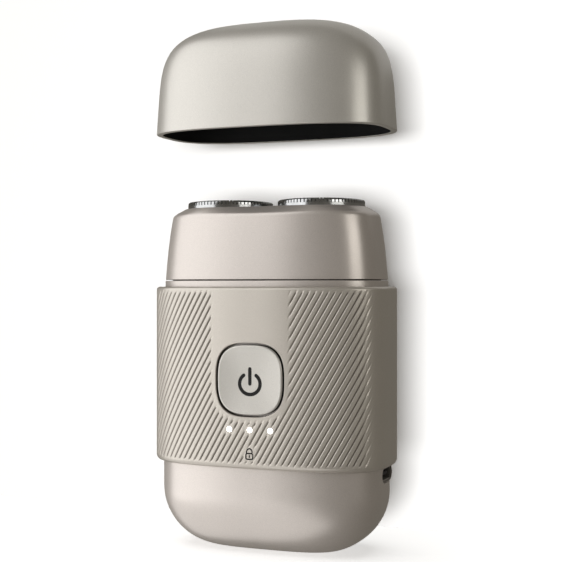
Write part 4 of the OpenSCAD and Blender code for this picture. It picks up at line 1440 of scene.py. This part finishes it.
class SHAVER_OT_inner_works(ShaverOperator):
    """Give the solids that stay their own finishes"""

    bl_idname = "shaver.inner_works"
    bl_label = "Inner works"

    def build(self, shape):
        for name, nodes in CAD_FINISHES.items():
            for node in nodes:
                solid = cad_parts[node]
                for slot in solid.material_slots:
                    slot.material = finish(name)
        bare = [
            node for node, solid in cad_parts.items()
            if not solid.hide_render and not any(node in nodes for nodes in CAD_FINISHES.values())
        ]
        if bare:
            raise RuntimeError(f"these solids have no finish: {bare}")


# ---------------------------------------------------------------------------------------------
# Stage
# ---------------------------------------------------------------------------------------------


# Name, turn and rise in degrees, distance, width, height, power, colour, and what it lights
LIGHTS = (
    ("left_softbox", -52, 16, 0.8, 1.0, 1.3, 7.4, (0.99, 0.995, 1.0), "shaver"),
    ("right_strip", 63, 14, 0.8, 0.45, 0.26, 1.0, (1.0, 0.99, 0.94), "shaver"),
    ("under_softbox", -50, -46, 0.6, 1.0, 0.6, 1.9, (1, 1, 1), "shaver"),
    ("back_softbox", 170, 50, 0.9, 1.2, 1.2, 1.6, (1, 1, 1), "shaver"),
    ("paper_light", 11, -3, 1.3, 0.50, 0.26, 17.5, (1, 1, 1), "backdrop"),
    ("floor_light", -80, 80, 0.9, 1.2, 1.2, 7.0, (1, 1, 1), "floor"),
)


def softbox(name, turn, rise, distance, width, height, power, colour, receivers):
    """An area light at a turn from the front and a rise above the shaver's middle, facing that middle."""
    data = bpy.data.lights.new(name, "AREA")
    data.shape = "RECTANGLE"
    data.size = width
    data.size_y = height
    data.energy = power
    data.color = colour
    light = bpy.data.objects.new(name, data)
    bpy.context.scene.collection.objects.link(light)
    turn = math.radians(turn)
    rise = math.radians(rise)
    light.location = (
        distance * math.sin(turn) * math.cos(rise), -distance * math.cos(turn) * math.cos(rise),
        LIGHT_AIM_Z + distance * math.sin(rise),
    )
    light.rotation_euler = (math.pi / 2 - rise, 0, turn)
    light.light_linking.receiver_collection = receivers


class SHAVER_OT_stage(bpy.types.Operator):
    """Build the floor, backdrop, lights and camera"""

    bl_idname = "shaver.stage"
    bl_label = "Stage"
    bl_options = {"REGISTER", "UNDO"}

    def execute(self, context):
        settings = context.scene.shaver_stage
        lit = {name: bpy.data.collections.new(name) for name in ("shaver", "floor", "backdrop")}
        for collection in lit.values():
            context.scene.collection.children.link(collection)
        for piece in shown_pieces():
            lit["shaver"].objects.link(piece)
        self.paper(settings, lit)
        for *light, receiver in LIGHTS:
            softbox(*light, lit[receiver])
        self.world(context.scene, settings)
        self.camera(context.scene, settings)
        return {"FINISHED"}

    def paper(self, settings, lit):
        """A floor, and a backdrop close behind that catches a soft shadow."""
        wall_y = top("grip_band").y + settings.backdrop_gap
        reach = 1.2
        sheets = (
            ("floor", [(-reach, 0.0), (wall_y, 0.0)], 0.58),
            ("backdrop", [(wall_y, 0.0), (wall_y, reach / 2)], 0.03),
        )
        for name, line, glow in sheets:
            points = [(x, y, z) for y, z in line for x in (-reach, reach)]
            sheet = new_object(f"{name}_paper", points, [[0, 1, 3, 2]])
            sheet.data.materials.append(studio_surface(f"{name}_paper", (0.94, 0.94, 0.94), glow))
            sheet.visible_glossy = False
            sheet.visible_diffuse = False
            sheet.visible_shadow = False
            lit[name].objects.link(sheet)
            sheet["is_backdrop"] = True

    def world(self, scene, settings):
        """Even light, and white where the camera looks past the paper."""
        world = bpy.data.worlds.new("studio")
        nodes = Nodes(world)
        even = nodes.node(
            "ShaderNodeBackground", {}, {"Color": (1.0, 0.93, 0.80), "Strength": settings.ambient}
        )
        white = nodes.node("ShaderNodeBackground", {}, {"Color": (1.0, 1.0, 1.0)})
        seen = nodes.node("ShaderNodeLightPath").outputs["Is Camera Ray"]
        either = nodes.node("ShaderNodeMixShader", {}, {0: seen, 1: even.outputs[0], 2: white.outputs[0]})
        nodes.node("ShaderNodeOutputWorld", {}, {"Surface": either.outputs[0]})
        scene.world = world

    def camera(self, scene, settings):
        """A level camera, turned towards the charging side."""
        data = bpy.data.cameras.new("studio_camera")
        data.lens = settings.lens
        data.sensor_width = 36
        data.shift_x = settings.shift
        data.shift_y = settings.shift
        data.clip_start = 0.01
        camera = bpy.data.objects.new("studio_camera", data)
        scene.collection.objects.link(camera)
        camera.location = (
            settings.distance * math.sin(settings.turn), -settings.distance * math.cos(settings.turn),
            settings.height,
        )
        camera.rotation_euler = (math.pi / 2, 0, settings.turn)
        scene.camera = camera
        scene.view_settings.view_transform = "Standard"


# ---------------------------------------------------------------------------------------------
# Add-on
# ---------------------------------------------------------------------------------------------

BUILDERS = (
    SHAVER_OT_casing, SHAVER_OT_grip_band, SHAVER_OT_signs, SHAVER_OT_light_guides, SHAVER_OT_power_button,
    SHAVER_OT_neck, SHAVER_OT_head_cover, SHAVER_OT_shaving_heads, SHAVER_OT_cap_shell, SHAVER_OT_cap_liner,
    SHAVER_OT_inner_works, SHAVER_OT_stage,
)


class VIEW3D_PT_shaver(bpy.types.Panel):
    """Lists the operators in the order in which they build the shaver"""

    bl_label = "Pocket Shaver"
    bl_space_type = "VIEW_3D"
    bl_region_type = "UI"
    bl_category = "Shaver"

    def draw(self, context):
        for builder in BUILDERS:
            self.layout.operator(builder.bl_idname)


GROUPS = {"shaver_shape": ShaverShape, "shaver_finish": ShaverFinish, "shaver_stage": ShaverStage}


def register():
    """Registers the property groups, the operators and the panel."""
    for name, group in GROUPS.items():
        bpy.utils.register_class(group)
        setattr(bpy.types.Scene, name, PointerProperty(type=group))
    for builder in BUILDERS:
        bpy.utils.register_class(builder)
    bpy.utils.register_class(VIEW3D_PT_shaver)


def unregister():
    """Takes away what register() added."""
    bpy.utils.unregister_class(VIEW3D_PT_shaver)
    for builder in reversed(BUILDERS):
        bpy.utils.unregister_class(builder)
    for name, group in reversed(GROUPS.items()):
        delattr(bpy.types.Scene, name)
        bpy.utils.unregister_class(group)


def main():
    """Builds everything."""
    register()
    for builder in BUILDERS:
        group, name = builder.bl_idname.split(".")
        getattr(getattr(bpy.ops, group), name)()


if __name__ == "__main__":
    main()
